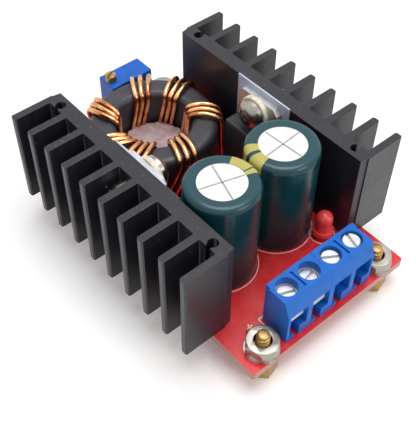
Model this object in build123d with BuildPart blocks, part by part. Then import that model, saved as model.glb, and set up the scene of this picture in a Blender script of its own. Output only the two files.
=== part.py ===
"""Boost converter module on four standoffs, in millimetres.

The origin is on the surface that the feet stand on, under the middle of the board. +Z is up, the wire
terminals face -Y and the heatsinks stand along the -X and +X edges.
"""

import os
from math import cos, radians, sin

from build123d import *

os.makedirs("parts", exist_ok=True)

# Board and its stand
BOARD_WIDTH = 36.0
BOARD_LENGTH = 65.0
BOARD_THICKNESS = 1.6
BOARD_CORNER_RADIUS = 0.6
STANDOFF_HEIGHT = 4.0
STANDOFF_ACROSS_FLATS = 5.0
STANDOFF_HOLE_DEPTH = 3.0
STANDOFF_INSET_SIDE = 4.5
STANDOFF_INSET_END = 2.9
TAP_DRILL_RADIUS = 1.25
STUD_RADIUS = 1.45
STUD_HOLE_CLEARANCE = 0.15
STUD_PROUD = 1.0
STUD_TIP_RADIUS = 1.1
STUD_TIP_HEIGHT = 0.8
NUT_ACROSS_FLATS = 5.5
NUT_HEIGHT = 2.4
NUT_CORNER_DROP = 0.45
THREAD_CLEARANCE = 0.05

# Heatsinks
SINK_INNER_X = 13.9
SINK_Y = 0.58
SINK_HEIGHT = 19.25
SINK_BASE_THICKNESS = 2.9
SINK_END_SLANT = 0.46
FIN_LENGTH = 7.0
FIN_THICKNESS = 1.4
FIN_COUNT = 10
FIN_PITCH = 5.044
FIN_TIP_CHAMFER = 0.25
FIN_ROOT_RADIUS = 0.25
CHANNEL_INSET = 1.75
CHANNEL_BORE_RADIUS = 0.9
CHANNEL_NECK = 1.0
SINK_SCREW_RADIUS = 0.85
SINK_SCREW_ENGAGEMENT = 7.0
SINK_SCREW_HEAD_RADIUS = 1.9
SINK_SCREW_HEAD_HEIGHT = 1.3
SINK_SCREW_CLEARANCE = 0.25

# Power devices in upright packages, one against each heatsink
PAD_THICKNESS = 0.3
PAD_WIDTH = 13.0
PAD_HEIGHT = 18.0
PAD_BOTTOM = 1.5
TAB_WIDTH = 10.0
TAB_THICKNESS = 1.3
TAB_CHAMFER = 1.1
TAB_BOTTOM = 4.2
TAB_HOLE_RADIUS = 1.85
PACKAGE_BOTTOM = 2.7
PACKAGE_HEIGHT = 9.2
PACKAGE_DEPTH = 4.5
PACKAGE_EDGE = 0.4
HOLE_HEIGHT = 15.6
HOLE_TO_TAB_TOP = 2.8
LEAD_SETBACK = 2.7
LEAD_PITCH = 2.54
LEAD_THICKNESS = 0.5
LEAD_WIDTH = 0.7
LEAD_SHOULDER_WIDTH = 1.2
LEAD_SHOULDER_END = 0.4
LEAD_INSIDE = 1.6
WASHER_FLANGE_RADIUS = 3.2
WASHER_FLANGE_THICKNESS = 1.0
WASHER_SHOULDER_CLEARANCE = 0.05
DEVICE_SCREW_LENGTH = 8.0
DEVICE_SCREW_HEAD_RADIUS = 2.8
DEVICE_SCREW_HEAD_HEIGHT = 2.0
CROSS_WIDTH = 0.7
CROSS_LENGTH = 3.0
CROSS_DEPTH = 1.0
SMALL_CROSS_WIDTH = 0.45
SMALL_CROSS_LENGTH = 2.0
SMALL_CROSS_DEPTH = 0.7

# Inductor
COIL_X = -0.2
COIL_Y = 14.9
CORE_OUTER_RADIUS = 12.0
CORE_INNER_RADIUS = 7.1
CORE_HEIGHT = 9.6
CORE_EDGE_RADIUS = 1.0
CORE_LIFT = 1.6
WIRE_DIAMETER = 0.95
WIRE_GAP = 0.05
WALL_GAP = 0.15
WIRE_BEND_RADIUS = 1.15
STRAND_COUNT = 3
STRAND_STEP_OUTER = 7.5
STRAND_STEP_INNER = 10.0
# Each turn crosses the top face from its outer angle to its inner angle, in degrees
TURN_ANGLES = [(-34, -25), (23, 24), (64, 71), (121, 140), (176, 194), (213, 223), (261, 268)]
INNER_WALL_SHARE = 0.3
OUTER_WALL_SHARE = 0.35
LAST_DROP_ANGLE = 8.0
LAST_DROP_STEP = 14.0
COIL_LEAD_OUTSET = 0.4
COIL_LEAD_KINK = 0.6
ADHESIVE_HEIGHT = 4.0
ADHESIVE_GAP = 0.1
ADHESIVE_DISH = 0.5

# Electrolytic capacitors
CAPACITOR_RADIUS = 6.5
CAPACITOR_HEIGHT = 20.5
CAPACITOR_Y = -11.9
INPUT_CAPACITOR_X = -7.1
OUTPUT_CAPACITOR_X = 6.25
SLEEVE_THICKNESS = 0.15
SLEEVE_OPENING_RADIUS = 4.3
SLEEVE_HEM = 0.4
CAN_EDGE_RADIUS = 1.0
CAN_WALL = 0.35
CAN_FOOT = 0.2
CRIMP_HEIGHT = 2.6
CRIMP_RADIUS = 0.5
SEAL_THICKNESS = 1.6
VENT_WIDTH = 0.3
VENT_LENGTH = 8.2
VENT_DEPTH = 0.12
# Turn of each can's scored cross, in degrees
INPUT_VENT_TURN = -17
OUTPUT_VENT_TURN = 4
CAPACITOR_LEAD_PITCH = 5.0
CAPACITOR_LEAD_RADIUS = 0.35

# Trimmer and lamp
TRIMMER_X = 4.4
TRIMMER_Y = 29.9
TRIMMER_LENGTH = 9.5
TRIMMER_WIDTH = 4.8
TRIMMER_HEIGHT = 10.0
TRIMMER_LIFT = 0.3
TRIMMER_FOOT = 1.2
TRIMMER_EDGE = 0.2
TRIMMER_SCREW_INSET = 1.25
TRIMMER_SCREW_RADIUS = 1.1
TRIMMER_SCREW_PROUD = 1.5
TRIMMER_SHANK_RADIUS = 0.75
TRIMMER_SHANK_LENGTH = 5.0
TRIMMER_SLOT_WIDTH = 0.5
TRIMMER_SLOT_DEPTH = 0.6
TRIMMER_PIN_RADIUS = 0.25
RUNNING_CLEARANCE = 0.05
LAMP_X = 11.2
LAMP_Y = -19.2
LAMP_LIFT = 0.9
LAMP_RADIUS = 1.55
LAMP_HEIGHT = 5.0
LAMP_FLANGE_RADIUS = 1.95
LAMP_FLANGE_HEIGHT = 0.9
LAMP_LEAD = 0.5
LAMP_LEAD_PITCH = 2.54

# Screw terminals: four poles in two housings
POLE_COUNT = 4
POLE_PITCH = 5.0
POLE_DEPTH = 2.45
HOUSING_HEIGHT = 9.74
HOUSING_BACK_Y = -25.6
HOUSING_TOP_DEPTH = 4.7
HOUSING_DEPTH = 5.9
HOUSING_BROW_HEIGHT = 6.55
HOUSING_BROW_RADIUS = 0.6
HOUSING_BACK_WALL = 0.35
BROW_WALL = 0.5
CAVITY_WIDTH = 3.9
CAVITY_TOP = 8.15
SILL_HEIGHT = 2.35
SILL_STEP_DEPTH = 4.3
SILL_STEP_HEIGHT = 1.0
SILL_SLOT_LEFT = 1.1
SILL_SLOT_WIDTH = 1.2
SCREW_BORE_RADIUS = 1.85
HOOK_DEPTH = 0.3
HOOK_WIDTH = 1.0
HOOK_GAP = 0.05
SEAM_WIDTH = 0.45
SEAM_LENGTH = 3.5
SEAM_DEPTH = 0.4
FRAME_WIDTH = 3.6
FRAME_GAP = 0.05
FRAME_DEPTH = 4.4
FRAME_BAR_DEPTH = 3.9
FRAME_BAR = 0.8
FRAME_LEG = 0.4
FRAME_WALL_BOTTOM = 6.9
PIN_WIDTH = 1.0
PIN_DEPTH = 0.8
PIN_SETBACK = 2.3
CLAMP_SCREW_RADIUS = 1.6
CLAMP_SCREW_LENGTH = 2.68
CLAMP_SLOT_WIDTH = 0.55
CLAMP_SLOT_DEPTH = 0.6
PLATE_WIDTH = 3.5
PLATE_THICKNESS = 0.7
PLATE_DEPTH = 5.15
PLATE_GAP = 0.02
PLATE_LEG_GAP = 0.1
# How far each screw lies below the housing's top, and the turn of its slot in degrees
SCREW_DEPTHS = [1.65, 1.85, 0.7, 0.35]
SLOT_TURNS = [-22, 12, -32, 75]

# Parts soldered under the board
HOLE_CLEARANCE = 0.12
PIN_END = 1.3
SOLDER_RADIUS = 1.0
SOLDER_HEIGHT = 0.9
SOLDER_TIP = 0.15
SOLDER_GAP = 0.01
CHIP_X = -5.5
CHIP_INSET = 10.5
CHIP_LENGTH = 4.9
CHIP_WIDTH = 3.9
CHIP_HEIGHT = 1.45
CHIP_LIFT = 0.12
CHIP_LEAD_PITCH = 1.27
CHIP_LEAD_REACH = 1.05
CHIP_LEAD_WIDTH = 0.42
CHIP_LEAD_THICKNESS = 0.2
CHIP_LEAD_FOOT = 0.6
SHUNT_LENGTH = 6.3
SHUNT_WIDTH = 3.2
SHUNT_HEIGHT = 0.6
SHUNT_X = -4.0
SHUNT_Y = -1.5
SMALL_LENGTH = 2.0
SMALL_WIDTH = 1.25
RESISTOR_HEIGHT = 0.5
CAPACITOR_CHIP_HEIGHT = 0.9
SMALL_EDGE = 0.08
# Small chips by the trimmer: x, and the distance in from that end of the board
RESISTOR_INSETS = [(1.5, 12.0), (1.5, 9.0), (5.0, 12.0), (5.0, 9.0), (8.5, 9.0), (-11.5, 8.0), (-1.5, 4.0)]
CHIP_CAPACITOR_INSETS = [(-11.5, 12.0), (-5.5, 5.5), (8.5, 12.0)]
# Small chips by the terminals: x and y
TERMINAL_CAPACITOR_PLACES = [(9.0, -24.0), (-9.0, -21.5)]

# Levels and places that follow from the sizes above
BOARD_BOTTOM = STANDOFF_HEIGHT
BOARD_TOP = BOARD_BOTTOM + BOARD_THICKNESS
STANDOFF_X = BOARD_WIDTH / 2 - STANDOFF_INSET_SIDE
STANDOFF_Y = BOARD_LENGTH / 2 - STANDOFF_INSET_END
SINK_OUTER_X = SINK_INNER_X + SINK_BASE_THICKNESS
SINK_LENGTH = (FIN_COUNT - 1) * FIN_PITCH + FIN_THICKNESS
CHANNEL_X = SINK_INNER_X + CHANNEL_INSET
CHANNEL_Y = (FIN_COUNT - 2) * FIN_PITCH / 2
DEVICE_BACK_X = SINK_INNER_X - PAD_THICKNESS
TAB_FRONT_X = DEVICE_BACK_X - TAB_THICKNESS
PACKAGE_FRONT_X = DEVICE_BACK_X - PACKAGE_DEPTH
LEAD_X = DEVICE_BACK_X - LEAD_SETBACK
HOLE_Z = BOARD_TOP + HOLE_HEIGHT
LEAD_BOTTOM = BOARD_BOTTOM - PIN_END
WIRE_RADIUS = WIRE_DIAMETER / 2
CORE_BOTTOM = BOARD_TOP + CORE_LIFT
CORE_TOP = CORE_BOTTOM + CORE_HEIGHT
WIRE_LOW_Z = CORE_BOTTOM - WIRE_GAP - WIRE_RADIUS
WIRE_HIGH_Z = CORE_TOP + WIRE_GAP + WIRE_RADIUS
WIRE_OUTER = CORE_OUTER_RADIUS + WALL_GAP + WIRE_RADIUS
WIRE_INNER = CORE_INNER_RADIUS - WIRE_GAP - WIRE_RADIUS
TRIMMER_BOTTOM = BOARD_TOP + TRIMMER_LIFT
TRIMMER_TOP = TRIMMER_BOTTOM + TRIMMER_HEIGHT
TRIMMER_SCREW_X = TRIMMER_X - TRIMMER_LENGTH / 2 + TRIMMER_SCREW_INSET
POLES = [(place - (POLE_COUNT - 1) / 2) * POLE_PITCH for place in range(POLE_COUNT)]
POLE_Y = HOUSING_BACK_Y - POLE_DEPTH
PIN_Y = HOUSING_BACK_Y - PIN_SETBACK
HOUSING_TOP = BOARD_TOP + HOUSING_HEIGHT
HOUSING_TOP_FRONT_Y = HOUSING_BACK_Y - HOUSING_TOP_DEPTH
HOUSING_FRONT_Y = HOUSING_BACK_Y - HOUSING_DEPTH
SILL_STEP_Y = HOUSING_BACK_Y - SILL_STEP_DEPTH
FRAME_FRONT_Y = HOUSING_BACK_Y - FRAME_DEPTH
FRAME_BAR_FRONT_Y = HOUSING_BACK_Y - FRAME_BAR_DEPTH
PLATE_FRONT_Y = HOUSING_BACK_Y - PLATE_DEPTH
CAVITY_BACK_Y = HOUSING_BACK_Y - HOUSING_BACK_WALL
FRAME_BACK_Y = CAVITY_BACK_Y - FRAME_GAP
BROW_SLOPE = (HOUSING_TOP_FRONT_Y - HOUSING_FRONT_Y) / (HOUSING_HEIGHT - HOUSING_BROW_HEIGHT)
CHIP_Y = BOARD_LENGTH / 2 - CHIP_INSET
RESISTOR_PLACES = [(x, BOARD_LENGTH / 2 - inset) for x, inset in RESISTOR_INSETS]
CHIP_CAPACITOR_PLACES = [(x, BOARD_LENGTH / 2 - inset) for x, inset in CHIP_CAPACITOR_INSETS]
CHIP_CAPACITOR_PLACES += TERMINAL_CAPACITOR_PLACES


def around_coil(radius, angle):
    """A point on a circle about the coil's axis, as (x, y)."""
    return (COIL_X + radius * cos(radians(angle)), COIL_Y + radius * sin(radians(angle)))


def strand_route(strand):
    """The corner points of one wire, from its start under the board to its end under the board."""
    shift = strand - (STRAND_COUNT - 1) / 2
    outer_shift = shift * STRAND_STEP_OUTER
    inner_shift = shift * STRAND_STEP_INNER
    start = around_coil(WIRE_OUTER + COIL_LEAD_OUTSET, TURN_ANGLES[0][0] + outer_shift)
    points = [(*start, LEAD_BOTTOM), (*start, BOARD_TOP + COIL_LEAD_KINK)]
    for turn, (outer, inner) in enumerate(TURN_ANGLES):
        points.append((*around_coil(WIRE_OUTER, outer + outer_shift), WIRE_HIGH_Z))
        points.append((*around_coil(WIRE_INNER, inner + inner_shift), WIRE_HIGH_Z))
        if turn + 1 < len(TURN_ANGLES):
            gap = TURN_ANGLES[turn + 1][0] - inner
            drop = inner + INNER_WALL_SHARE * gap
            rise = TURN_ANGLES[turn + 1][0] - OUTER_WALL_SHARE * gap
            points.append((*around_coil(WIRE_INNER, drop + inner_shift), WIRE_LOW_Z))
            points.append((*around_coil(WIRE_OUTER, rise + outer_shift), WIRE_LOW_Z))
    end = around_coil(WIRE_INNER, TURN_ANGLES[-1][1] + LAST_DROP_ANGLE + shift * LAST_DROP_STEP)
    points.append((*end, BOARD_TOP + COIL_LEAD_KINK))
    points.append((*end, LEAD_BOTTOM))
    return points


def slope_y(height):
    """The y of the terminal housing's sloping brow at a height above the board."""
    return HOUSING_FRONT_Y + (height - HOUSING_BROW_HEIGHT) * BROW_SLOPE


# Every soldered lead as (x, y, radius of the circle round it)
LEADS = []
for sign in (-1, 1):
    for step in (-1, 0, 1):
        LEADS.append((sign * LEAD_X, SINK_Y + step * LEAD_PITCH, (LEAD_WIDTH**2 + LEAD_THICKNESS**2) ** 0.5 / 2))
for centre in (INPUT_CAPACITOR_X, OUTPUT_CAPACITOR_X):
    for sign in (-1, 1):
        LEADS.append((centre + sign * CAPACITOR_LEAD_PITCH / 2, CAPACITOR_Y, CAPACITOR_LEAD_RADIUS))
for strand in range(STRAND_COUNT):
    for point in (strand_route(strand)[0], strand_route(strand)[-1]):
        LEADS.append((point[0], point[1], WIRE_RADIUS))
for step in (-1, 0, 1):
    LEADS.append((TRIMMER_X + step * LEAD_PITCH, TRIMMER_Y, TRIMMER_PIN_RADIUS))
for sign in (-1, 1):
    LEADS.append((LAMP_X + sign * LAMP_LEAD_PITCH / 2, LAMP_Y, LAMP_LEAD * 2**0.5 / 2))
for pole_x in POLES:
    LEADS.append((pole_x, PIN_Y, (PIN_WIDTH**2 + PIN_DEPTH**2) ** 0.5 / 2))


def save(piece, label):
    """Name a finished piece and write it."""
    piece.part.label = label
    export_step(piece.part, f"parts/{label}.step")


# Board
with BuildPart() as circuit_board:
    with BuildSketch(Plane.XY.offset(BOARD_BOTTOM)):
        RectangleRounded(BOARD_WIDTH, BOARD_LENGTH, BOARD_CORNER_RADIUS)
        with GridLocations(2 * STANDOFF_X, 2 * STANDOFF_Y, 2, 2):
            Circle(STUD_RADIUS + STUD_HOLE_CLEARANCE, mode=Mode.SUBTRACT)
        with Locations((0, SINK_Y)):
            with GridLocations(2 * CHANNEL_X, 2 * CHANNEL_Y, 2, 2):
                Circle(SINK_SCREW_RADIUS + SINK_SCREW_CLEARANCE, mode=Mode.SUBTRACT)
        for lead_x, lead_y, lead_radius in LEADS:
            with Locations((lead_x, lead_y)):
                Circle(lead_radius + HOLE_CLEARANCE, mode=Mode.SUBTRACT)
    extrude(amount=BOARD_THICKNESS)
save(circuit_board, "circuit_board")

# Standoffs: hex pillar with a blind thread below and a stud above
with BuildPart() as standoffs:
    with BuildSketch():
        with GridLocations(2 * STANDOFF_X, 2 * STANDOFF_Y, 2, 2):
            RegularPolygon(STANDOFF_ACROSS_FLATS / 2, 6, major_radius=False, rotation=15)
    extrude(amount=STANDOFF_HEIGHT)
    chamfer(standoffs.edges().group_by(Axis.Z)[0], length=0.3)
    with BuildSketch():
        with GridLocations(2 * STANDOFF_X, 2 * STANDOFF_Y, 2, 2):
            Circle(TAP_DRILL_RADIUS)
    extrude(amount=STANDOFF_HOLE_DEPTH, mode=Mode.SUBTRACT)
    with BuildSketch(Plane.XY.offset(STANDOFF_HEIGHT)):
        with GridLocations(2 * STANDOFF_X, 2 * STANDOFF_Y, 2, 2):
            Circle(STUD_RADIUS)
    extrude(amount=BOARD_THICKNESS + NUT_HEIGHT + STUD_PROUD - STUD_TIP_HEIGHT)
    with BuildSketch(Plane.XY.offset(BOARD_TOP + NUT_HEIGHT + STUD_PROUD - STUD_TIP_HEIGHT)):
        with GridLocations(2 * STANDOFF_X, 2 * STANDOFF_Y, 2, 2):
            Circle(STUD_TIP_RADIUS)
    extrude(amount=STUD_TIP_HEIGHT)
save(standoffs, "standoffs")

# Nuts: a hexagon cut by a cone at both ends, so that each corner is rounded off
with BuildPart() as nut_form:
    with BuildSketch():
        RegularPolygon(NUT_ACROSS_FLATS / 2, 6, major_radius=False, rotation=15)
    extrude(amount=NUT_HEIGHT)
    nut_corner = NUT_ACROSS_FLATS / 3**0.5
    with BuildSketch(Plane.XZ):
        with BuildLine():
            Polyline(
                (0, 0),
                (NUT_ACROSS_FLATS / 2 - 0.1, 0),
                (nut_corner, NUT_CORNER_DROP),
                (nut_corner, NUT_HEIGHT - NUT_CORNER_DROP),
                (NUT_ACROSS_FLATS / 2 - 0.1, NUT_HEIGHT),
                (0, NUT_HEIGHT),
                close=True,
            )
        make_face()
    revolve(axis=Axis.Z, mode=Mode.INTERSECT)
    with BuildSketch():
        Circle(STUD_RADIUS + THREAD_CLEARANCE)
    extrude(amount=NUT_HEIGHT, mode=Mode.SUBTRACT)
    chamfer(nut_form.edges().filter_by(GeomType.CIRCLE).sort_by(SortBy.RADIUS)[:2], length=0.4)

with BuildPart() as standoff_nuts:
    with Locations(Plane.XY.offset(BOARD_TOP)):
        with GridLocations(2 * STANDOFF_X, 2 * STANDOFF_Y, 2, 2):
            add(nut_form.part)
save(standoff_nuts, "standoff_nuts")


def make_heatsink(side):
    """One extruded heatsink, its fins pointing away from the board."""
    with BuildPart() as heatsink:
        with BuildSketch(Plane.XY.offset(BOARD_TOP)) as profile:
            with BuildLine():
                Polyline(
                    (side * SINK_INNER_X, SINK_Y - SINK_LENGTH / 2 + SINK_END_SLANT),
                    (side * SINK_OUTER_X, SINK_Y - SINK_LENGTH / 2),
                    (side * SINK_OUTER_X, SINK_Y + SINK_LENGTH / 2),
                    (side * SINK_INNER_X, SINK_Y + SINK_LENGTH / 2 - SINK_END_SLANT),
                    close=True,
                )
            make_face()
            with Locations((side * (SINK_OUTER_X + FIN_LENGTH / 2 - FIN_THICKNESS / 2), SINK_Y)):
                with GridLocations(0, FIN_PITCH, 1, FIN_COUNT):
                    Rectangle(FIN_LENGTH + FIN_THICKNESS, FIN_THICKNESS)
            tips = [v for v in profile.vertices() if abs(v.X) > SINK_OUTER_X + FIN_LENGTH / 2]
            chamfer(tips, length=FIN_TIP_CHAMFER)
            roots = [
                v
                for v in profile.vertices()
                if abs(abs(v.X) - SINK_OUTER_X) < FIN_TIP_CHAMFER
                and abs(v.Y - SINK_Y) < SINK_LENGTH / 2 - FIN_TIP_CHAMFER
            ]
            fillet(roots, radius=FIN_ROOT_RADIUS)
            with Locations((side * CHANNEL_X, SINK_Y)):
                with GridLocations(0, 2 * CHANNEL_Y, 1, 2):
                    Circle(CHANNEL_BORE_RADIUS, mode=Mode.SUBTRACT)
            with Locations((side * (CHANNEL_X + SINK_BASE_THICKNESS / 2), SINK_Y)):
                with GridLocations(0, 2 * CHANNEL_Y, 1, 2):
                    Rectangle(SINK_BASE_THICKNESS, CHANNEL_NECK, mode=Mode.SUBTRACT)
        extrude(amount=SINK_HEIGHT)
        with BuildSketch(Plane.YZ.offset(side * SINK_INNER_X)):
            with Locations((SINK_Y, HOLE_Z)):
                Circle(STUD_RADIUS + THREAD_CLEARANCE)
        extrude(amount=side * SINK_BASE_THICKNESS, mode=Mode.SUBTRACT)
    return heatsink


def make_pad(side):
    """The thin insulating sheet between a device and its heatsink."""
    with BuildPart() as pad:
        with BuildSketch(Plane.YZ.offset(side * DEVICE_BACK_X)):
            with Locations((SINK_Y, BOARD_TOP + PAD_BOTTOM + PAD_HEIGHT / 2)):
                Rectangle(PAD_WIDTH, PAD_HEIGHT)
            with Locations((SINK_Y, HOLE_Z)):
                Circle(STUD_RADIUS + STUD_HOLE_CLEARANCE, mode=Mode.SUBTRACT)
        extrude(amount=side * PAD_THICKNESS)
    return pad


def make_tab(side):
    """The metal tab and the middle lead, which are one stamping."""
    tab_top = HOLE_Z + HOLE_TO_TAB_TOP
    tab_low = BOARD_TOP + TAB_BOTTOM
    with BuildPart() as tab:
        with BuildSketch(Plane.YZ.offset(side * TAB_FRONT_X)) as outline:
            with Locations((SINK_Y, (tab_top + tab_low) / 2)):
                Rectangle(TAB_WIDTH, tab_top - tab_low)
            chamfer(outline.vertices().group_by(Axis.Y)[-1], length=TAB_CHAMFER)
            with Locations((SINK_Y, HOLE_Z)):
                Circle(TAB_HOLE_RADIUS, mode=Mode.SUBTRACT)
        extrude(amount=side * TAB_THICKNESS)
        with BuildSketch(Plane.XZ.offset(-SINK_Y)):
            with BuildLine():
                Polyline(
                    (side * TAB_FRONT_X, tab_low),
                    (side * TAB_FRONT_X, tab_low + LEAD_THICKNESS),
                    (side * (LEAD_X - LEAD_THICKNESS / 2), tab_low + LEAD_THICKNESS),
                    (side * (LEAD_X - LEAD_THICKNESS / 2), BOARD_TOP + LEAD_SHOULDER_END),
                    (side * (LEAD_X + LEAD_THICKNESS / 2), BOARD_TOP + LEAD_SHOULDER_END),
                    (side * (LEAD_X + LEAD_THICKNESS / 2), tab_low),
                    close=True,
                )
            make_face()
        extrude(amount=LEAD_SHOULDER_WIDTH / 2, both=True)
        with BuildSketch(Plane.XY.offset(LEAD_BOTTOM)):
            with Locations((side * LEAD_X, SINK_Y)):
                Rectangle(LEAD_THICKNESS, LEAD_WIDTH)
        extrude(amount=BOARD_TOP + LEAD_SHOULDER_END - LEAD_BOTTOM)
    return tab


def make_outer_leads(side):
    """The two outer leads, with their wide shoulders just under the package."""
    with BuildPart() as leads:
        with BuildSketch(Plane.XY.offset(BOARD_TOP + LEAD_SHOULDER_END)):
            with Locations((side * LEAD_X, SINK_Y)):
                with GridLocations(0, 2 * LEAD_PITCH, 1, 2):
                    Rectangle(LEAD_THICKNESS, LEAD_SHOULDER_WIDTH)
        extrude(amount=PACKAGE_BOTTOM + LEAD_INSIDE - LEAD_SHOULDER_END)
        with BuildSketch(Plane.XY.offset(LEAD_BOTTOM)):
            with Locations((side * LEAD_X, SINK_Y)):
                with GridLocations(0, 2 * LEAD_PITCH, 1, 2):
                    Rectangle(LEAD_THICKNESS, LEAD_WIDTH)
        extrude(amount=BOARD_TOP + LEAD_SHOULDER_END - LEAD_BOTTOM)
    return leads


def make_package(side, tab, leads):
    """The moulded body, which grips the tab and the leads."""
    low = BOARD_TOP + PACKAGE_BOTTOM
    high = low + PACKAGE_HEIGHT
    with BuildPart() as package:
        with BuildSketch(Plane.XZ.offset(-SINK_Y)):
            with BuildLine():
                Polyline(
                    (side * DEVICE_BACK_X, low + PACKAGE_EDGE),
                    (side * (DEVICE_BACK_X - PACKAGE_EDGE), low),
                    (side * (PACKAGE_FRONT_X + PACKAGE_EDGE), low),
                    (side * PACKAGE_FRONT_X, low + PACKAGE_EDGE),
                    (side * PACKAGE_FRONT_X, high - 2 * PACKAGE_EDGE),
                    (side * (PACKAGE_FRONT_X + PACKAGE_EDGE), high),
                    (side * TAB_FRONT_X, high),
                    (side * TAB_FRONT_X, BOARD_TOP + TAB_BOTTOM),
                    (side * DEVICE_BACK_X, BOARD_TOP + TAB_BOTTOM),
                    close=True,
                )
            make_face()
        extrude(amount=TAB_WIDTH / 2, both=True)
        add(tab.part, mode=Mode.SUBTRACT)
        add(leads.part, mode=Mode.SUBTRACT)
    return package


def make_shoulder_washer(side):
    """The insulating washer, whose shoulder fills the tab's hole."""
    with BuildPart() as washer:
        with BuildSketch(Plane.YZ.offset(side * TAB_FRONT_X)):
            with Locations((SINK_Y, HOLE_Z)):
                Circle(WASHER_FLANGE_RADIUS)
        extrude(amount=-side * WASHER_FLANGE_THICKNESS)
        fillet(washer.edges().group_by(Axis.X)[0 if side > 0 else -1], radius=0.25)
        with BuildSketch(Plane.YZ.offset(side * TAB_FRONT_X)):
            with Locations((SINK_Y, HOLE_Z)):
                Circle(TAB_HOLE_RADIUS - WASHER_SHOULDER_CLEARANCE)
        extrude(amount=side * (TAB_THICKNESS - WASHER_SHOULDER_CLEARANCE))
        with BuildSketch(Plane.YZ.offset(side * (TAB_FRONT_X - WASHER_FLANGE_THICKNESS))):
            with Locations((SINK_Y, HOLE_Z)):
                Circle(STUD_RADIUS + THREAD_CLEARANCE)
        extrude(amount=side * (WASHER_FLANGE_THICKNESS + TAB_THICKNESS), mode=Mode.SUBTRACT)
    return washer


for side, name, device in ((-1, "left", "mosfet"), (1, "right", "diode")):
    save(make_heatsink(side), f"heatsink_{name}")
    save(make_pad(side), f"insulating_pad_{name}")
    save(make_shoulder_washer(side), f"shoulder_washer_{name}")
    device_tab = make_tab(side)
    device_leads = make_outer_leads(side)
    save(device_tab, f"{device}_tab")
    save(device_leads, f"{device}_leads")
    save(make_package(side, device_tab, device_leads), f"{device}_body")

# Self-tapping screws that hold the heatsinks from below
with BuildPart() as heatsink_screws:
    with BuildSketch(Plane.XY.offset(BOARD_BOTTOM - SINK_SCREW_HEAD_HEIGHT)):
        with Locations((0, SINK_Y)):
            with GridLocations(2 * CHANNEL_X, 2 * CHANNEL_Y, 2, 2):
                Circle(SINK_SCREW_HEAD_RADIUS)
    extrude(amount=SINK_SCREW_HEAD_HEIGHT)
    fillet(heatsink_screws.edges().group_by(Axis.Z)[0], radius=0.6)
    with BuildSketch(Plane.XY.offset(BOARD_BOTTOM)):
        with Locations((0, SINK_Y)):
            with GridLocations(2 * CHANNEL_X, 2 * CHANNEL_Y, 2, 2):
                Circle(SINK_SCREW_RADIUS)
    extrude(amount=BOARD_THICKNESS + SINK_SCREW_ENGAGEMENT)
    with BuildSketch(Plane.XY.offset(BOARD_BOTTOM - SINK_SCREW_HEAD_HEIGHT)):
        with Locations((0, SINK_Y)):
            with GridLocations(2 * CHANNEL_X, 2 * CHANNEL_Y, 2, 2):
                Rectangle(SMALL_CROSS_LENGTH, SMALL_CROSS_WIDTH, rotation=45)
                Rectangle(SMALL_CROSS_WIDTH, SMALL_CROSS_LENGTH, rotation=45)
    extrude(amount=SMALL_CROSS_DEPTH, mode=Mode.SUBTRACT)
save(heatsink_screws, "heatsink_screws")

# Pan head screws that clamp the devices
with BuildPart() as device_screws:
    for side in (-1, 1):
        seat_x = TAB_FRONT_X - WASHER_FLANGE_THICKNESS
        crown_x = seat_x - DEVICE_SCREW_HEAD_HEIGHT
        with BuildSketch(Plane.XZ.offset(-SINK_Y)):
            with BuildLine():
                Polyline(
                    (side * crown_x, HOLE_Z),
                    (side * (seat_x + DEVICE_SCREW_LENGTH), HOLE_Z),
                    (side * (seat_x + DEVICE_SCREW_LENGTH), HOLE_Z + STUD_TIP_RADIUS),
                    (side * (seat_x + DEVICE_SCREW_LENGTH - STUD_TIP_HEIGHT), HOLE_Z + STUD_RADIUS),
                    (side * seat_x, HOLE_Z + STUD_RADIUS),
                    (side * seat_x, HOLE_Z + DEVICE_SCREW_HEAD_RADIUS),
                    (side * (seat_x - 0.8), HOLE_Z + DEVICE_SCREW_HEAD_RADIUS),
                )
                ThreePointArc(
                    (side * (seat_x - 0.8), HOLE_Z + DEVICE_SCREW_HEAD_RADIUS),
                    (side * (crown_x + 0.35), HOLE_Z + 0.72 * DEVICE_SCREW_HEAD_RADIUS),
                    (side * crown_x, HOLE_Z),
                )
            make_face()
        revolve(axis=Axis((0, SINK_Y, HOLE_Z), (1, 0, 0)))
        with BuildSketch(Plane.YZ.offset(side * crown_x)):
            with Locations((SINK_Y, HOLE_Z)):
                Rectangle(CROSS_LENGTH, CROSS_WIDTH, rotation=35)
                Rectangle(CROSS_WIDTH, CROSS_LENGTH, rotation=35)
        extrude(amount=side * CROSS_DEPTH, mode=Mode.SUBTRACT)
save(device_screws, "device_screws")

# Inductor core: a pressed powder ring with rounded edges
with BuildPart() as toroid_core:
    with BuildSketch(Plane.XY.offset(CORE_BOTTOM)):
        with Locations((COIL_X, COIL_Y)):
            Circle(CORE_OUTER_RADIUS)
            Circle(CORE_INNER_RADIUS, mode=Mode.SUBTRACT)
    extrude(amount=CORE_HEIGHT)
    fillet(toroid_core.edges().filter_by(GeomType.CIRCLE), radius=CORE_EDGE_RADIUS)
save(toroid_core, "toroid_core")

# Winding: three wires side by side, seven turns round the core's section
for strand in range(STRAND_COUNT):
    with BuildPart() as winding:
        with BuildLine() as route:
            FilletPolyline(*strand_route(strand), radius=WIRE_BEND_RADIUS)
        with BuildSketch(Plane(origin=route.line @ 0, z_dir=route.line % 0)):
            Circle(WIRE_RADIUS)
        sweep()
    save(winding, f"winding_strand_{strand + 1}")

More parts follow.
